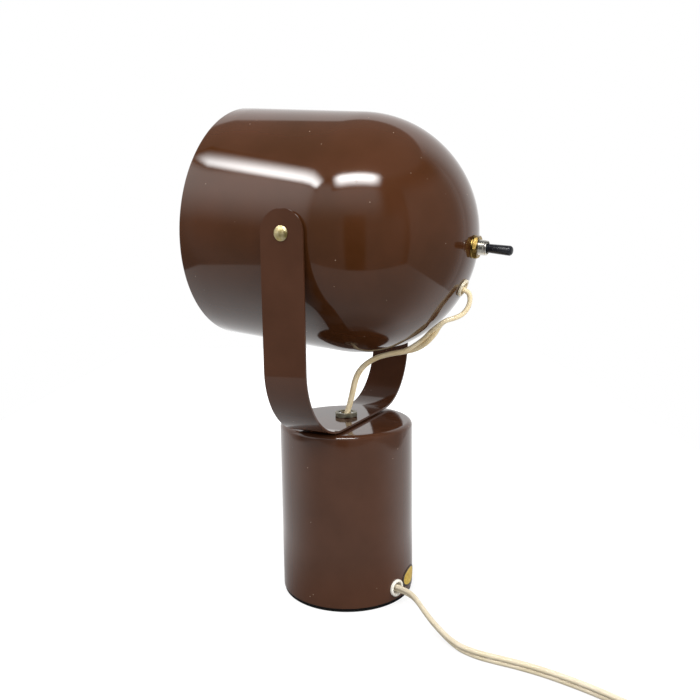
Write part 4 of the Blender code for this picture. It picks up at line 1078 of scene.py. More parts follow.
@dataclass
class Shade:
    """The spun shade, a cylinder that closes in a hemisphere; its own Z points at its rear pole."""

    radius: float = 75.8 * MM
    wall: float = 1.0 * MM
    front: float = -73.3 * MM
    dome: float = 12.0 * MM
    bead: float = 0.9 * MM
    pole_hole: float = 4.95 * MM
    pivot_hole: float = 2.6 * MM
    grommet_angle: float = math.radians(19.5)
    grommet_depth: float = 2.69 * MM
    drill_reach: float = 6 * MM
    sides: int = 256
    # Where each stretch of the dome ends, in degrees, and its steps: closer round the grommet's hole.
    dome_stretches: tuple[tuple[float, int], ...] = ((76, 8), (64, 12), (0, 26))
    # The cylinder's rings, closer together round the pivots' holes.
    side_mm: tuple[float, ...] = (7.0, 3.5, -3.5, -7.0, -20.0, -40.0, -60.0)
    grommet: Grommet = field(default_factory=Grommet)

    def build(self) -> None:
        """Build and dress the shade and what is fixed in it."""
        self.build_shell()
        place = SHADE_PLACE @ self.hole_place() @ Matrix.Translation((0, 0, self.radius))
        ring = self.grommet.model("flex_grommet", self.grommet_depth, place)
        hand_over(ring, WARM_VINYL, Body.SHADE, "shade_grommet")
        dress_nodes(FIBRE, "pivot_washer_right", "pivot_washer_left")
        dress_nodes(ZINC_STEEL, "pivot_nut_right", "pivot_nut_left")

    def hole_place(self) -> Matrix:
        """Give the place in the dome's middle whose own Z points at the flex's hole."""
        return Matrix.Translation((0, 0, self.dome)) @ Matrix.Rotation(-self.grommet_angle, 4, "X")

    def side_rings(self, radius: float) -> list[Ring]:
        """Give the rings of one face of the wall from the pole's hole to the mouth.

        Args:
            radius: The face's radius.

        Returns:
            The rings.
        """
        start = math.degrees(math.acos(self.pole_hole / radius))
        rings = []
        for end, steps in self.dome_stretches:
            rings = rings[:-1] + add_arc((0, self.dome), radius, start, end, steps)
            start = end
        return rings + [(radius, height * MM) for height in self.side_mm]

    def build_shell(self) -> None:
        """Turn the shade with its rolled rim, drill it and enamel it brown outside and white inside."""
        bead = (self.radius - self.bead, self.front + self.bead)
        rings = self.side_rings(self.radius) + add_arc(bead, self.bead, 0, -250, 14)
        rings += self.side_rings(self.radius - self.wall)[::-1]
        shell = turn_rings("spun_shade", rings, Closing.LOOP, self.sides)
        cut(shell, make_drill(self.grommet.hole, self.radius - self.drill_reach,
                              self.radius + self.drill_reach, self.hole_place()))
        cut(shell, make_drill(self.pivot_hole, -2 * self.radius, 2 * self.radius,
                              Matrix.Rotation(QUARTER, 4, "Y")))
        for finish in (DEEP_ENAMEL, WHITE_ENAMEL):
            shell.data.materials.append(finish.material())
        for face in shell.data.polygons:
            spot = face.center
            reach = math.hypot(spot.x, spot.y, max(0.0, spot.z - self.dome))
            inside = reach < self.radius - self.wall / 2 and spot.z > self.front + 2 * self.bead
            face.material_index = int(inside)
        settle(shell, SHADE_PLACE)
        hand_over(shell, DEEP_ENAMEL, Body.SHADE, "shade_shell")


@dataclass
class Switch:
    """The toggle switch on the shade's pole: washer, nut, threaded bushing and lever."""

    washer_radius: float = 7.0 * MM
    washer_low: float = 87.5 * MM
    washer_high: float = 88.55 * MM
    washer_edge: float = 0.2 * MM
    bushing_radius: float = 4.65 * MM
    bushing_low: float = 83.98 * MM
    bushing_end: float = 96.4 * MM
    bushing_edge: float = 0.35 * MM
    bore: float = 3.5 * MM
    mouth: float = 4.0 * MM
    flare: float = 2.2 * MM
    pitch: float = 0.8 * MM
    thread_depth: float = 0.32 * MM
    crest: tuple[float, float] = (0.4, 0.6)
    plain_turns: float = 1.6
    ball_height: float = 93.2 * MM
    ball: float = 3.1 * MM
    lever_length: float = 19.3 * MM
    lever_root: float = 2.7 * MM
    lever_tip: float = 3.0 * MM
    lever_round: float = 1.6 * MM
    lever_edge: float = 0.25 * MM
    tail_radius: float = 1.2 * MM
    tail_length: float = 11.0 * MM
    throw: float = math.radians(12)
    lever_sides: int = 12
    nut: HexNut = HexNut(12.7 * MM, 88.6 * MM, 91.3 * MM, 4.55 * MM)
    nut_turn: float = math.radians(-22)

    def build(self) -> None:
        """Build and dress the switch."""
        rim, edge = self.washer_radius, self.washer_edge
        washer = turn_rings("switch_brass_washer", [
            (self.bushing_radius, self.washer_low), (rim - edge, self.washer_low),
            (rim, self.washer_low + edge), (rim, self.washer_high - edge),
            (rim - edge, self.washer_high), (self.bushing_radius, self.washer_high)], Closing.LOOP)
        settle(washer, SHADE_PLACE)
        hand_over(washer, TARNISHED_BRASS, Body.SHADE, "switch_washer")
        nut = self.nut.model("switch_brass_nut", SHADE_PLACE @ Matrix.Rotation(self.nut_turn, 4, "Z"))
        hand_over(nut, TARNISHED_BRASS, Body.SHADE, "switch_nut")
        self.build_bushing()
        self.build_lever()
        dress_nodes(PHENOLIC, "switch_body")

    def build_bushing(self) -> None:
        """Turn the bushing with its thread, drawn as rings at the thread's pitch."""
        rim, edge, end = self.bushing_radius, self.bushing_edge, self.bushing_end
        root = rim - self.thread_depth
        rings = [(self.bore, self.bushing_low), (rim, self.bushing_low)]
        height = self.bushing_low + self.pitch
        while height < end - self.plain_turns * self.pitch:
            rings += [(root, height), *((rim, height + share * self.pitch) for share in self.crest)]
            height += self.pitch
        rings += [(root, height), (rim - edge / 2, height + edge), (rim - edge / 2, end - edge),
                  (rim - 1.5 * edge, end), (self.mouth, end), (self.bore, end - self.flare)]
        bushing = turn_rings("threaded_bushing", rings, Closing.LOOP)
        settle(bushing, SHADE_PLACE)
        hand_over(bushing, NICKEL, Body.SHADE, "switch_bushing")

    def build_lever(self) -> None:
        """Turn the lever from its tail, over its ball, to its rounded tip, with flats along it."""
        corner = (self.lever_tip - self.lever_round, self.lever_length - self.lever_round)
        rings = [(0, -self.tail_length), (self.tail_radius, -self.tail_length),
                 (self.tail_radius, -0.9 * self.ball), *add_arc((0, 0), self.ball, -60, 45, 8),
                 (0.92 * self.lever_root, self.ball), (self.lever_root, 1.25 * self.ball),
                 *add_arc(corner, self.lever_round, 0, 80, 6), (0, self.lever_length)]
        lever = turn_rings("toggle_lever", rings, sides=self.lever_sides)
        apply_modifier(lever, "BEVEL", width=self.lever_edge, segments=2, limit_method="ANGLE",
                       angle_limit=math.radians(24))
        place = Matrix.Translation((0, 0, self.ball_height)) @ Matrix.Rotation(self.throw, 4, "Y")
        settle(lever, SHADE_PLACE @ place, math.radians(18))
        hand_over(lever, BLACK_PLASTIC, Body.LEVER, "switch_lever")


@dataclass
class Lampholder:
    """The porcelain socket, its screw shell, and the frosted bulb in it."""

    radius: float = 18.5 * MM
    back: float = 51.18 * MM
    mouth: float = 17.18 * MM
    bed: float = 45.18 * MM
    bore: float = 14.4 * MM
    rim: float = 1.4 * MM
    waist: float = 1.2 * MM
    waist_slope: float = 1.5 * MM
    front_band: float = 9 * MM
    back_band: float = 6 * MM
    shell_radius: float = 14.1 * MM
    shell_wall: float = 0.6 * MM
    shell_length: float = 25 * MM
    thread_pitch: float = 3.6 * MM
    thread_depth: float = 0.35 * MM
    thread_steps: int = 8
    bulb_radius: float = 30 * MM
    bulb_tip: float = -61.22 * MM
    neck_start: float = 17.28 * MM
    neck_end: float = 26.0 * MM
    neck_radius: float = 12.1 * MM
    neck_angle: float = math.radians(128)
    neck_steps: int = 12
    bulb_steps: int = 36
    bulb_sides: int = 96
    glass: float = 0.9 * MM

    def build(self) -> None:
        """Build and dress the lampholder and the bulb."""
        self.build_socket()
        self.build_shell()
        self.build_bulb()
        dress_nodes(BRASS, "socket_contact")
        dress_nodes(ZINC_STEEL, "socket_bracket", "socket_screw_right", "socket_screw_left")
        dress_nodes(ALUMINIUM, "bulb_cap")
        dress_nodes(BLACK_WIRE, "wire_live", "wire_switched")
        dress_nodes(WHITE_WIRE, "wire_neutral")

    def build_socket(self) -> None:
        """Turn the socket with rounded rims and the glaze line round its waist."""
        slim, lip = self.radius - self.waist, self.rim / 2
        low, high = self.mouth + self.front_band, self.back - self.back_band
        rings = [(0, self.bed), (self.bore, self.bed), (self.bore, self.mouth + lip)]
        rings += add_arc((self.bore + lip, self.mouth + lip), lip, 180, 270, 4)
        rings += add_arc((self.radius - self.rim, self.mouth + self.rim), self.rim, -90, 0, 6)
        rings += [(self.radius, low), (slim, low + self.waist_slope), (slim, high - self.waist_slope),
                  (self.radius, high)]
        rings += add_arc((self.radius - self.rim, self.back - self.rim), self.rim, 0, 90, 6)
        socket = turn_rings("porcelain_socket", rings + [(0, self.back)])
        settle(socket, SHADE_PLACE)
        hand_over(socket, PORCELAIN, Body.SHADE, "socket_body")

    def build_shell(self) -> None:
        """Roll the thread into the socket's screw shell."""
        low = self.bed - self.shell_length
        steps = self.thread_steps * round(self.shell_length / self.thread_pitch)
        outer = []
        for k in range(steps + 1):
            rise = self.shell_length * k / steps
            wave = self.thread_depth * (1 - math.cos(FULL_TURN * rise / self.thread_pitch)) / 2
            outer.append((self.shell_radius - wave, low + rise))
        inner = [(radius - self.shell_wall, height) for radius, height in reversed(outer)]
        shell = turn_rings("threaded_screw_shell", outer + inner, Closing.LOOP, SMALL_SIDES)
        settle(shell, SHADE_PLACE)
        hand_over(shell, BRASS, Body.SHADE, "socket_screw_shell")

    def build_bulb(self) -> None:
        """Draw the glass from its neck to its tip and give it its thickness."""
        middle = self.bulb_tip + self.bulb_radius
        start = (self.bulb_radius * math.sin(self.neck_angle),
                 middle - self.bulb_radius * math.cos(self.neck_angle))
        slope = -math.tan(self.neck_angle - QUARTER)
        reach = self.neck_start - start[1]
        rings = [(self.neck_radius, self.neck_end), (self.neck_radius, self.neck_start)]
        for k in range(self.neck_steps - 1, 0, -1):
            t = k / self.neck_steps
            bow = (2 * t**3 - 3 * t**2 + 1) * start[0] + (t**3 - 2 * t**2 + t) * reach * slope
            rings.append((bow + (3 * t**2 - 2 * t**3) * self.neck_radius, start[1] + reach * t))
        first = math.degrees(self.neck_angle - QUARTER)
        rings += add_arc((0, middle), self.bulb_radius, first, -88, self.bulb_steps)
        bulb = turn_rings("frosted_bulb", rings + [(0, self.bulb_tip)], sides=self.bulb_sides)
        apply_modifier(bulb, "SOLIDIFY", thickness=self.glass, offset=-1)
        settle(bulb, SHADE_PLACE)
        hand_over(bulb, FROSTED_GLASS, Body.SHADE, "bulb_glass")


def smooth_path(route: Iterable[Sequence[float]], step: float, samples: int = 16) -> list[Vector]:
    """Give even points along the smooth curve through a route's points.

    Args:
        route: The route's points.
        step: How far apart the points are to be.
        samples: How finely the curve is followed between two of the route's points.

    Returns:
        The points, both ends among them.
    """
    spots = [Vector(spot) for spot in route]
    ends = [2 * spots[0] - spots[1], *spots, 2 * spots[-1] - spots[-2]]
    fine = []
    for a, b, c, d in zip(ends, ends[1:], ends[2:], ends[3:]):
        for k in range(samples):
            t = k / samples
            fine.append(0.5 * (2 * b + (c - a) * t + (2 * a - 5 * b + 4 * c - d) * t**2
                               + (3 * b - a - 3 * c + d) * t**3))
    fine.append(spots[-1])
    along = measure(fine)
    count = max(2, round(along[-1] / step))
    points = []
    spot = 0
    for k in range(count + 1):
        want = along[-1] * k / count
        while spot < len(fine) - 2 and along[spot + 1] < want:
            spot += 1
        share = (want - along[spot]) / (along[spot + 1] - along[spot])
        points.append(fine[spot].lerp(fine[spot + 1], min(share, 1.0)))
    return points


def measure(points: Sequence[Vector]) -> list[float]:
    """Give how far along a line each of its points is.

    Args:
        points: The line's points.

    Returns:
        The distance of each from the first.
    """
    along = [0.0]
    for a, b in pairwise(points):
        along.append(along[-1] + (b - a).length)
    return along


def ease(low: float, high: float, value: float) -> float:
    """Rise smoothly from 0 at low to 1 at high.

    Args:
        low: Where the rise starts.
        high: Where it ends.
        value: Where it is read.

    Returns:
        A share from 0 to 1.
    """
    share = min(1.0, max(0.0, (value - low) / (high - low)))
    return share * share * (3 - 2 * share)


def level_way(start: Vector, end: Vector) -> Vector:
    """Give the level direction from one point to another.

    Args:
        start: The first point.
        end: The other point.

    Returns:
        The direction, one long.
    """
    way = end - start
    way.z = 0
    return way.normalized()


@dataclass
class FlatCord(ABC):
    """A flat twin cord: two cores side by side in one sheath, with a groove between them."""

    core: float = 1.5 * MM
    web: float = 0.5 * MM
    lobe_steps: int = 16

    @abstractmethod
    def width_at(self, distance: float, heading: Vector) -> Vector:
        """Give the direction in which the cord is wide.

        Args:
            distance: How far along the cord.
            heading: Where the cord runs there.

        Returns:
            The wide direction, roughly.
        """

    def section(self) -> list[tuple[float, float, float]]:
        """Draw the section round both cores.

        Returns:
            Across, through and how deep in the groove each corner is, from 0 to 1.
        """
        reach = math.pi - math.asin(self.web / self.core)
        corners = []
        for side in (1, -1):
            for k in range(self.lobe_steps + 1):
                angle = -reach + 2 * reach * k / self.lobe_steps
                across = side * (self.core + self.core * math.cos(angle))
                through = side * self.core * math.sin(angle)
                corners.append((across, through, 1.0 if k in (0, self.lobe_steps) else 0.0))
        return corners

    def model(self, name: str, path: Sequence[Vector]) -> Piece:
        """Sweep the section along a path.

        Args:
            name: The cord's name.
            path: The points that it follows.

        Returns:
            The cord, shaded, with its groove as an attribute.
        """
        section = self.section()
        shape = bmesh.new()
        groove = shape.verts.layers.float.new("groove")
        rows = []
        for index, (spot, distance) in enumerate(zip(path, measure(path))):
            before, after = path[max(0, index - 1)], path[min(len(path) - 1, index + 1)]
            heading = (after - before).normalized()
            wide = self.width_at(distance, heading)
            wide = (wide - heading * wide.dot(heading)).normalized()
            flat = heading.cross(wide)
            row = []
            for across, through, deep in section:
                corner = shape.verts.new(spot + wide * across + flat * through)
                corner[groove] = deep
                row.append(corner)
            rows.append(row)
        for near, far in pairwise(rows):
            for k in range(len(section)):
                beside = (k + 1) % len(section)
                shape.faces.new((near[k], near[beside], far[beside], far[k]))
        shape.faces.new(rows[0][::-1])
        shape.faces.new(rows[-1])
        bmesh.ops.recalc_face_normals(shape, faces=shape.faces)
        mesh = bpy.data.meshes.new(name)
        shape.to_mesh(mesh)
        shape.free()
        cord = add_object(mesh)
        settle(cord, angle=SOFT_ANGLE)
        return cord


@dataclass
class Flex(FlatCord):
    """The short flex that hangs from the yoke's nut, loops and goes into the shade."""

    step: float = 1.2 * MM
    route: tuple[Spot, ...] = (
        (0.0, 0.0, 0.108), (0.0, 0.0, 0.112), (0.0, 0.0, 0.116), (0.0, 0.0008, 0.1205),
        (0.0, 0.0028, 0.127), (0.0, 0.005, 0.135), (0.0, 0.0073, 0.1438), (0.0002, 0.0107, 0.1503),
        (0.0005, 0.0162, 0.1557), (0.0008, 0.0238, 0.1601), (0.0012, 0.033, 0.163),
        (0.0018, 0.0428, 0.1653), (0.0026, 0.0501, 0.1681), (0.0038, 0.0574, 0.1728),
        (0.0055, 0.063, 0.1782), (0.0072, 0.068, 0.1834), (0.0076, 0.0724, 0.1867),
        (0.0052, 0.0771, 0.1883), (0.0018, 0.081, 0.1904), (-0.0004, 0.0838, 0.1944),
        (-0.001, 0.085, 0.199), (-0.0006, 0.0845, 0.203), (0.0, 0.0822, 0.205), (0.0, 0.0797, 0.2064),
        (0.0, 0.0782, 0.207))
    # How far along the flex, and where its wide side points there.
    turns: tuple[tuple[float, Spot], ...] = (
        (0.0, (0.99, 0.14, 0.0)), (0.05, (0.99, 0.0, 0.1)), (0.078, (0.96, -0.14, 0.22)),
        (0.098, (0.12, -0.63, 0.77)), (0.117, (0.98, 0.15, 0.02)), (0.126, (0.88, 0.44, 0.2)),
        (0.137, (0.95, 0.3, 0.1)), (0.151, (1.0, 0.1, 0.1)))
    bend_start: Spot = (0.0, 0.002, 0.124)
    bend_end: Spot = (0.0, 0.0782, 0.207)

    def width_at(self, distance: float, heading: Vector) -> Vector:
        """Turn the flex's wide side as it does on the way up.

        Args:
            distance: How far along the flex.
            heading: Where it runs there; not used.

        Returns:
            The wide direction, roughly.
        """
        for (start, first), (end, second) in pairwise(self.turns):
            if distance <= end:
                return Vector(first).lerp(Vector(second), ease(start, end, distance))
        return Vector(self.turns[-1][1])

    def build(self) -> None:
        """Build and dress the flex."""
        path = smooth_path(self.route, self.step)
        cord = self.model("twin_flex", path)
        cord.data.materials.append(GOLDEN_VINYL_PAINTED_LIGHT.material())
        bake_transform(cord)
        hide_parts("jumper_flex")


@dataclass
class MainsLead(FlatCord):
    """The mains lead: from the base's grommet along the table to a tied coil and its plug."""

    step: float = 2.0 * MM
    route: tuple[Spot, ...] = (
        (0.0138, 0.0406, 0.0103), (0.0152, 0.0445, 0.0103), (0.0165, 0.0485, 0.0103),
        (0.0178, 0.0522, 0.0101), (0.0199, 0.0563, 0.0095), (0.0236, 0.0608, 0.0087),
        (0.0289, 0.0663, 0.0074), (0.0355, 0.0735, 0.0058), (0.0422, 0.0817, 0.0043),
        (0.0488, 0.0902, 0.0034), (0.0538, 0.0988, 0.003), (0.0564, 0.1085, 0.003),
        (0.057, 0.1183, 0.003), (0.0571, 0.1322, 0.003), (0.0582, 0.1461, 0.003),
        (0.0606, 0.1598, 0.003), (0.0637, 0.1729, 0.003), (0.0675, 0.185, 0.003),
        (0.0725, 0.198, 0.0031), (0.0796, 0.2115, 0.0033), (0.0882, 0.2243, 0.0036))
    # The wide side's lean from level, and how far along the lead it changes.
    first_lean: float = math.radians(118)
    leaning_until: float = 0.055
    rising_by: float = 0.092
    lean: float = math.radians(99)
    upright_from: float = 0.19
    upright_by: float = 0.23
    centre: tuple[float, float] = (0.130, 0.206)
    mean_radius: float = 33.4 * MM
    turns: float = 7 + 160 / 360
    first_angle: float = math.radians(130)
    pitch: float = 4.9 * MM
    low: float = 3.9 * MM
    layer: float = 6.4 * MM
    # The lead climbs to the upper layer from this many turns before the coil's halfway to as many after.
    climb: float = 0.25
    points_per_turn: int = 48
    # Away from the tie the turns sink, the upper ones a little more, and the first over its first part.
    sink: float = 0.8 * MM
    layer_sink: float = 0.3 * MM
    sunk_by: float = 0.15
    tie_angle: float = math.radians(50)
    tie_reach: tuple[float, float] = (math.radians(7), math.radians(26))
    run_in: float = 4.2 * MM
    tail: float = 34 * MM
    tail_steps: int = 16
    tail_fall: float = 0.87
    plug_height: float = 6.8 * MM

    def width_at(self, distance: float, heading: Vector) -> Vector:
        """Turn the lead from its lean at the base to nearly on edge on the table and upright in the coil.

        Args:
            distance: How far along the lead.
            heading: Where it runs there.

        Returns:
            The wide direction, roughly.
        """
        angle = self.first_lean
        angle += (self.lean - self.first_lean) * ease(self.leaning_until, self.rising_by, distance)
        angle += (QUARTER - self.lean) * ease(self.upright_from, self.upright_by, distance)
        left = UP.cross(heading).normalized()
        return left * math.cos(angle) + UP * math.sin(angle)

    def coil_point(self, turn: float) -> Vector:
        """Give a point of the coil, which winds inwards below and outwards on top.

        Args:
            turn: How many turns from its start.

        Returns:
            The point.
        """
        half = self.turns / 2
        radius = self.mean_radius - self.pitch * self.turns / 4 + self.pitch * abs(turn - half)
        rise = ease(-self.climb, self.climb, turn - half)
        angle = self.first_angle - FULL_TURN * turn
        apart = abs((angle - self.tie_angle + math.pi) % FULL_TURN - math.pi)
        sunk = ease(*self.tie_reach, apart) * ease(0.0, self.sunk_by, turn)
        height = self.low + self.layer * rise - sunk * (self.sink + self.layer_sink * rise)
        return Vector((self.centre[0] + radius * math.cos(angle), self.centre[1] + radius * math.sin(angle),
                       height))

    def coil_path(self) -> tuple[list[Vector], Vector]:
        """Give the wound part of the lead and its tail to the plug.

        Returns:
            The points, and the direction in which the tail ends.
        """
        count = math.ceil(self.turns * self.points_per_turn)
        points = [self.coil_point(self.turns * k / count) for k in range(count + 1)]
        last = points[-1]
        end = level_way(points[-2], last)
        for k in range(1, self.tail_steps + 1):
            share = k / self.tail_steps
            spot = last + end * self.tail * share
            spot.z = last.z + (self.plug_height - last.z) * ease(0, self.tail_fall, share)
            points.append(spot)
        return points, end

    def build(self) -> None:
        """Build and dress the lead with its coil, tie and plug."""
        coil, end = self.coil_path()
        lead_in = coil[0] + level_way(coil[1], coil[0]) * self.run_in
        path = smooth_path([*self.route, tuple(lead_in)], self.step) + coil
        cord = self.model("twin_lead", path)
        hand_over(cord, CREAM_VINYL, Body.BASE, "mains_lead", "lead_coil")
        dress_nodes(TIE_PLASTIC, "coil_tie")
        blades = ("plug_blade_right", "plug_blade_left")
        dress_nodes(BRASS, *blades)
        plug = Plug(Matrix.Translation((coil[-1].x, coil[-1].y, self.plug_height))
                    @ Matrix.Rotation(math.atan2(end.y, end.x), 4, "Z"))
        pieces = plug.build()
        # The enamel would mirror the coil, which the camera isn't meant to see.
        for piece in (cord, *pieces, *(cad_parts[name] for name in (*blades, "coil_tie"))):
            piece.visible_glossy = False


@dataclass
class Plug:
    """The flat moulded plug; its own X runs from the lead to its blades."""

    place: Matrix
    neck: float = 12 * MM
    length: float = 30 * MM
    width: float = 24 * MM
    thick: float = 13 * MM
    corner: float = 4 * MM
    edge: float = 1.6 * MM
    grip_inset: float = 2.6 * MM
    grip_depth: float = 0.8 * MM
    ribs: int = 5
    rib_depth: float = 0.55 * MM
    # Where a rib starts and ends and where the groove after it does, in shares of the ribs' pitch.
    rib_stops: tuple[float, float, float, float] = (0.15, 0.7, 0.8, 1.0)
    sleeve_over: float = 8 * MM
    sleeve_start: tuple[float, float] = (4.2 * MM, 3.0 * MM)
    sleeve_end: tuple[float, float] = (5.6 * MM, 5.2 * MM)

    def build(self) -> list[Piece]:
        """Build and dress the plug.

        Returns:
            Its body and its ribbed sleeve.
        """
        return [self.build_body(), self.build_sleeve()]

    def build_body(self) -> Piece:
        """Round a block's corners and edges and press a thumb grip in its two faces.

        Returns:
            The plug's body.
        """
        body = begin_block("moulded_plug", bpy.ops.mesh.primitive_cube_add,
                           (self.length, self.width, self.thick), (self.neck + self.length / 2, 0, 0))
        bpy.ops.mesh.select_mode(type="EDGE")
        bpy.ops.mesh.select_all(action="DESELECT")
        mesh = bmesh.from_edit_mesh(body.data)
        for edge in mesh.edges:
            low, high = edge.verts
            edge.select_set(abs(low.co.z - high.co.z) > self.thick / 2)
        bmesh.update_edit_mesh(body.data)
        bpy.ops.mesh.bevel(offset=self.corner, segments=6, affect="EDGES")
        for side in (1, -1):
            pick(body, lambda spot: spot.z * side > self.thick / 2 - NEAR, faces=True)
            bpy.ops.mesh.inset(thickness=self.grip_inset)
            bpy.ops.mesh.inset(thickness=self.grip_depth)
            bpy.ops.transform.translate(value=(0, 0, -side * self.grip_depth))
        point_out()
        apply_modifier(body, "BEVEL", width=self.edge, segments=4, limit_method="ANGLE",
                       angle_limit=SOFT_ANGLE)
        settle(body, self.place, SOFT_ANGLE)
        apply_modifier(body, "WEIGHTED_NORMAL", keep_sharp=True)
        hand_over(body, PLUG_VINYL, Body.BASE, "plug_body")
        return body

    def build_sleeve(self) -> Piece:
        """Draw the tapered, ribbed sleeve that guards the lead where it leaves the plug.

        Returns:
            The sleeve.
        """
        sunk = 1.0 - self.rib_depth / self.sleeve_end[0]
        rings = [(0, 0.0), (sunk, 0.0)]
        for k in range(self.ribs):
            rings += zip((1.0, 1.0, sunk, sunk), ((k + stop) / self.ribs for stop in self.rib_stops))
        rings[-2:] = [(1.0, 1.0), (0, 1.0)]
        sleeve = turn_rings("ribbed_sleeve", rings, sides=SMALL_SIDES)
        run = self.neck + self.sleeve_over
        start, end = Vector(self.sleeve_start), Vector(self.sleeve_end)
        for vertex in sleeve.data.vertices:
            size = start.lerp(end, vertex.co.z)
            vertex.co = (run * vertex.co.z - self.sleeve_over, vertex.co.x * size.x, vertex.co.y * size.y)
        settle(sleeve, self.place, math.radians(28))
        hand_over(sleeve, PLUG_VINYL, Body.BASE)
        return sleeve


@dataclass(frozen=True)
class Glow:
    """A soft-edged part of the room: a range of azimuths and heights in degrees, with its brightness."""

    azimuth: float
    half_width: float
    side_soft: float
    low: float
    low_soft: float
    high: float
    high_soft: float
    strength: float

    def add(self, tree: Tree, level: Socket, rise: Socket, total: Socket) -> Socket:
        """Add this part's brightness to the room's.

        Args:
            tree: The world's node tree.
            level: The direction looked in, laid flat.
            rise: How far it points up, as a sine.
            total: The brightness so far.

        Returns:
            The new brightness.
        """
        along = add_node(tree, "VectorMath", settings=ALONG,
                         values={1: compass(self.azimuth, 0)}, links={0: level})
        side = math.radians(min(180.0, self.half_width + self.side_soft))
        bright = add_node(tree, "MapRange", settings=SMOOTH,
                          values={"From Min": math.cos(side) - SIDE_FADE,
                                  "From Max": math.cos(math.radians(self.half_width)),
                                  "To Min": 0.0, "To Max": self.strength},
                          links={"Value": along.outputs["Value"]}).outputs["Result"]
        for edge, soft, shares in ((self.low, self.low_soft, (0.0, 1.0)),
                                   (self.high, self.high_soft, (1.0, 0.0))):
            low, high = sorted(math.sin(math.radians(angle)) for angle in (edge, edge + soft))
            bright = dim(tree, bright, rise, (low, high + EDGE_FADE), shares)
        return add_node(tree, "Math", settings={"operation": "ADD"},
                        links={0: total, 1: bright}).outputs["Value"]


def compass(azimuth: float, height: float) -> Vector:
    """Give a direction from an azimuth, 0 at -Y and 90 at +X, and a height.

    Args:
        azimuth: The azimuth in degrees.
        height: The height above the horizon in degrees.

    Returns:
        The direction, one long.
    """
    flat = math.cos(math.radians(height))
    turn = math.radians(azimuth)
    return Vector((flat * math.sin(turn), -flat * math.cos(turn), math.sin(math.radians(height))))


@dataclass(frozen=True)
class Softbox:
    """A bright cloth that only gloss mirrors: where it hangs, its size, brightness and soft rims.

    The rims are shares of its width and height that fade out.
    """

    azimuth: float
    height: float
    roll: float
    wide: float
    tall: float
    strength: float
    soft_left: float
    soft_right: float
    soft_below: float
    soft_above: float

    def cloth(self, name: str) -> bpy.types.Material:
        """Make its glowing cloth.

        Args:
            name: The material's name.

        Returns:
            The material, for a square with its UV map.
        """
        material = bpy.data.materials.new(name)
        tree = bare_tree(material)
        place = add_node(tree, "TexCoord").outputs["UV"]
        across = add_node(tree, "SeparateXYZ", links={0: place}).outputs
        bright = add_node(tree, "Value").outputs["Value"]
        bright.default_value = self.strength
        for axis, limits, shares in (("X", (0.0, self.soft_left), (0.0, 1.0)),
                                     ("X", (1 - self.soft_right, 1.0), (1.0, 0.0)),
                                     ("Y", (0.0, self.soft_below), (0.0, 1.0)),
                                     ("Y", (1 - self.soft_above, 1.0), (1.0, 0.0))):
            bright = dim(tree, bright, across[axis], limits, shares)
        glow = add_node(tree, "Emission", links={"Strength": bright})
        add_node(tree, "OutputMaterial", links={"Surface": glow.outputs[0]})
        return material


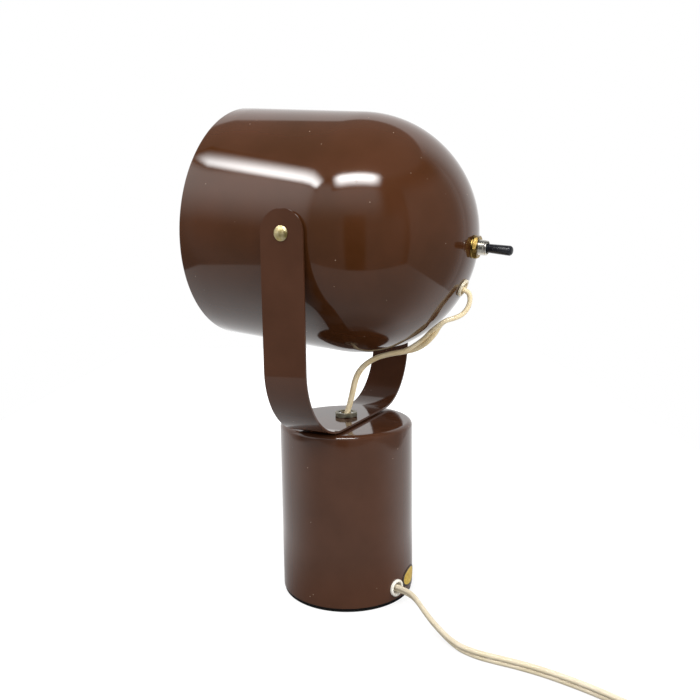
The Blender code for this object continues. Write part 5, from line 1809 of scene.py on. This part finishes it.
@dataclass
class Studio:
    """The pale table, the soft lamps and the camera at the photograph's place."""

    target: Vector = field(default_factory=lambda: Vector((0, 0, 0.22)))
    camera_place: Spot = (0.435998, 0.217403, 0.238351)
    camera_heading: float = math.radians(-153.867905)
    camera_pitch: float = math.radians(8.729088)
    camera_roll: float = math.radians(-0.711355)
    lens: float = 38.018245
    sensor: float = 36.0
    nearest: float = 0.01
    room_light: float = 0.12
    sky: tuple[Glow, ...] = (
        Glow(0, 180, 0, 5, 50, 89, 1, 0.8),
        Glow(-75, 70, 30, -30, 10, 25, 20, 0.45),
    )
    dim_room: float = 0.08
    glows: tuple[Glow, ...] = (
        Glow(-58, 46, 42, -60, 10, 48, 3, 0.88),
        Glow(-30, 45, 20, -60, 10, 0, 25, 0.2),
        Glow(0, 180, 0, 46, 6, 89, 1, 0.14),
        Glow(36, 20, 12, 0, 34, 40, 8, 1.85),
        Glow(100, 28, 14, 8, 30, 40, 8, 1.0),
        Glow(34, 10, 10, -40, 10, 2, 30, 0.12),
        Glow(197, 34, 2, -60, 10, 30, 14, 0.24),
        Glow(100, 52, 8, -50, 10, 10, 12, 0.12),
        Glow(110, 7, 2, -50, 4, 16, 3, -0.2),
    )
    softboxes: tuple[Softbox, ...] = (
        Softbox(48.5, 49.0, math.radians(-14), 0.82, 0.27, 30.0, 0.6, 0.14, 0.4, 0.85),
        Softbox(113.0, 49.3, math.radians(1), 0.9, 0.34, 34.0, 0.22, 0.26, 0.7, 0.35),
    )
    card_distance: float = 1.2
    # Azimuth, height, width, height of the cloth and watts of each lamp.
    lamps: tuple[tuple[float, float, float, float, float], ...] = (
        (51.5, 47.5, 0.9, 0.4, 5.9),
        (113.0, 52.0, 1.3, 0.45, 6.3),
        (163.0, 14.0, 0.8, 0.5, 6.5),
        (108.0, 4.0, 0.9, 0.4, 2.0),
        (-65.0, 35.0, 1.2, 0.8, 3.0),
        (-60.0, 82.0, 1.0, 1.0, 1.5),
    )
    # How far the table reaches from the lamp's axis, as the camera sees it.
    table_front: float = 0.42
    table_back: float = 1.1
    table_right: float = 0.384
    table_left: float = 0.465
    floor_shade: float = 0.3
    floor_glow: tuple[float, float] = (0.72, 1.02)
    glow_reach: tuple[float, float] = (0.2, 0.36)
    gloss_floor: tuple[float, float] = (0.48, 1.1)
    gloss_turn: tuple[float, float] = (-0.8, 0.1)
    near_shade: float = 0.5
    near_reach: tuple[float, float] = (0.05, 0.14)

    def build(self) -> None:
        """Set up the camera, the light and the table."""
        self.build_camera()
        self.build_room()
        self.build_floor()
        for number, box in enumerate(self.softboxes, 1):
            self.hang_softbox(number, box)
        for number, lamp in enumerate(self.lamps, 1):
            self.build_lamp(number, *lamp)
        bpy.context.scene.view_settings.view_transform = "Standard"
        LOG.info("studio with %d lamps", len(self.lamps))

    def build_camera(self) -> None:
        """Put the camera where the photograph was taken."""
        data = bpy.data.cameras.new("camera")
        data.lens = self.lens
        data.sensor_width = self.sensor
        data.clip_start = self.nearest
        camera = add_object(data)
        camera.matrix_world = (Matrix.Translation(self.camera_place)
                               @ Matrix.Rotation(self.camera_heading - QUARTER, 4, "Z")
                               @ Matrix.Rotation(QUARTER - self.camera_pitch, 4, "X")
                               @ Matrix.Rotation(self.camera_roll, 4, "Z"))
        bpy.context.scene.camera = camera

    def build_room(self) -> None:
        """Make the background white, and give gloss a room with a backdrop and soft glows."""
        world = bpy.data.worlds.new("studio_room")
        bpy.context.scene.world = world
        tree = bare_tree(world)
        look = add_node(tree, "TexCoord").outputs["Generated"]
        flat = add_node(tree, "VectorMath", settings=PRODUCT,
                        values={1: (1, 1, 0)}, links={0: look}).outputs[0]
        level = add_node(tree, "VectorMath", settings=UNIT, links={0: flat}).outputs[0]
        rise = add_node(tree, "SeparateXYZ", links={0: look}).outputs["Z"]
        sums = []
        for base, glows in ((self.room_light, self.sky), (self.dim_room, self.glows)):
            total = add_node(tree, "Value").outputs["Value"]
            total.default_value = base
            for glow in glows:
                total = glow.add(tree, level, rise, total)
            sums.append(total)
        light, mirrored = sums
        path = add_node(tree, "LightPath").outputs
        shown = add_node(tree, "Mix", settings=NUMBERS, values={2: 1.0},
                         links={0: path["Is Glossy Ray"], 3: mirrored}).outputs[0]
        seen, lit = (add_node(tree, "Background", values={"Color": WHITE},
                              links={"Strength": strength}).outputs[0] for strength in (shown, light))
        direct = add_node(tree, "Math", settings=EITHER,
                          links={0: path["Is Camera Ray"], 1: path["Is Glossy Ray"]}).outputs[0]
        either = add_node(tree, "Math", settings=EITHER,
                          links={0: direct, 1: path["Is Transmission Ray"]}).outputs[0]
        mixed = add_node(tree, "MixShader", links={0: either, 1: lit, 2: seen})
        add_node(tree, "OutputWorld", links={"Surface": mixed.outputs[0]})

    def build_floor(self) -> None:
        """Lay the pale table."""
        size = (self.table_front + self.table_back, self.table_left + self.table_right, 1)
        middle = ((self.table_back - self.table_front) / 2, (self.table_left - self.table_right) / 2, 0)
        floor = begin_block("pale_table", bpy.ops.mesh.primitive_plane_add, size, middle)
        settle(floor, Matrix.Rotation(self.camera_heading, 4, "Z"))
        floor.data.materials.append(self.table_paper())

    def table_paper(self) -> bpy.types.Material:
        """Make the table's paper: white to the camera, with the lamp's shadow kept.

        Returns:
            The material, which gloss sees paler behind the lamp than before it, and darker close to it.
        """
        material = bpy.data.materials.new("pale_table_paper")
        tree = bare_tree(material)
        place = add_node(tree, "TexCoord").outputs["Object"]
        reach = add_node(tree, "VectorMath", settings={"operation": "LENGTH"},
                         links={0: place}).outputs["Value"]
        level = add_node(tree, "VectorMath", settings=UNIT, links={0: place}).outputs[0]
        towards = Vector((math.cos(self.camera_heading), math.sin(self.camera_heading), 0))
        away = add_node(tree, "VectorMath", settings=ALONG, values={1: towards},
                        links={0: level}).outputs["Value"]
        behind = add_node(tree, "MapRange", settings=SMOOTH,
                          values={"From Min": self.gloss_turn[0], "From Max": self.gloss_turn[1]},
                          links={"Value": away}).outputs["Result"]
        round_about = add_node(tree, "MapRange",
                               values={"To Min": self.gloss_floor[0], "To Max": self.gloss_floor[1]},
                               links={"Value": behind}).outputs["Result"]
        mirrored = dim(tree, round_about, reach, self.near_reach, (self.near_shade, 1.0))
        path = add_node(tree, "LightPath").outputs
        dull = add_node(tree, "Mix", settings=NUMBERS, values={2: self.floor_shade, 3: 0.0},
                        links={0: path["Is Glossy Ray"]}).outputs[0]
        paper = add_node(tree, "BsdfDiffuse", links={"Color": dull}).outputs[0]
        seen = add_node(tree, "Math", settings=EITHER,
                        links={0: path["Is Camera Ray"], 1: path["Is Transmission Ray"]}).outputs[0]
        shown = dim(tree, seen, reach, self.glow_reach, self.floor_glow)
        strength = add_node(tree, "Mix", settings=NUMBERS,
                            links={0: path["Is Glossy Ray"], 2: shown, 3: mirrored}).outputs[0]
        glow = add_node(tree, "Emission", links={"Strength": strength}).outputs[0]
        both = add_node(tree, "AddShader", links={0: paper, 1: glow}).outputs[0]
        add_node(tree, "OutputMaterial", links={"Surface": both})
        return material

    def aim(self, azimuth: float, height: float) -> Matrix:
        """Give the place of a lamp or a softbox that faces the lamp's head.

        Args:
            azimuth: Its azimuth in degrees, 0 at -Y and 90 at +X.
            height: Its height above the horizon in degrees.

        Returns:
            The place's matrix, its own -Z pointing at the head.
        """
        out = compass(azimuth, height)
        return face_along(out, self.target + out * self.card_distance)

    def hang_softbox(self, number: int, box: Softbox) -> None:
        """Hang a softbox that only glossy surfaces see.

        Args:
            number: Its number.
            box: What it is like.
        """
        card = begin_block(f"softbox_{number}", bpy.ops.mesh.primitive_plane_add, (box.wide, box.tall, 1))
        settle(card, self.aim(box.azimuth, box.height) @ Matrix.Rotation(box.roll, 4, "Z"))
        card.data.materials.append(box.cloth(f"softbox_cloth_{number}"))
        for ray in ("camera", "diffuse", "transmission", "shadow"):
            setattr(card, f"visible_{ray}", False)

    def build_lamp(self, number: int, azimuth: float, height: float, wide: float, tall: float,
                   power: float) -> None:
        """Hang a soft area lamp that lights but isn't mirrored.

        Args:
            number: The lamp's number.
            azimuth: Its azimuth in degrees.
            height: Its height above the horizon in degrees.
            wide: Its width.
            tall: Its height.
            power: Its power in watts.
        """
        data = bpy.data.lights.new(f"soft_lamp_{number}", "AREA")
        data.shape = "RECTANGLE"
        data.size = wide
        data.size_y = tall
        data.energy = power
        lamp = add_object(data)
        lamp.matrix_world = self.aim(azimuth, height)
        lamp.visible_glossy = False


def main() -> None:
    """Build the lamp's sub-assemblies in order."""
    logging.basicConfig(level=logging.INFO, format="%(name)s: %(message)s", stream=sys.stdout)
    for part in (Studio(), MainsLead(), Flex(), Base(), Yoke(), Shade(), Switch(), Lampholder()):
        LOG.info("building %s", type(part).__name__)
        part.build()
    let_go()


if __name__ == "__main__":
    main()
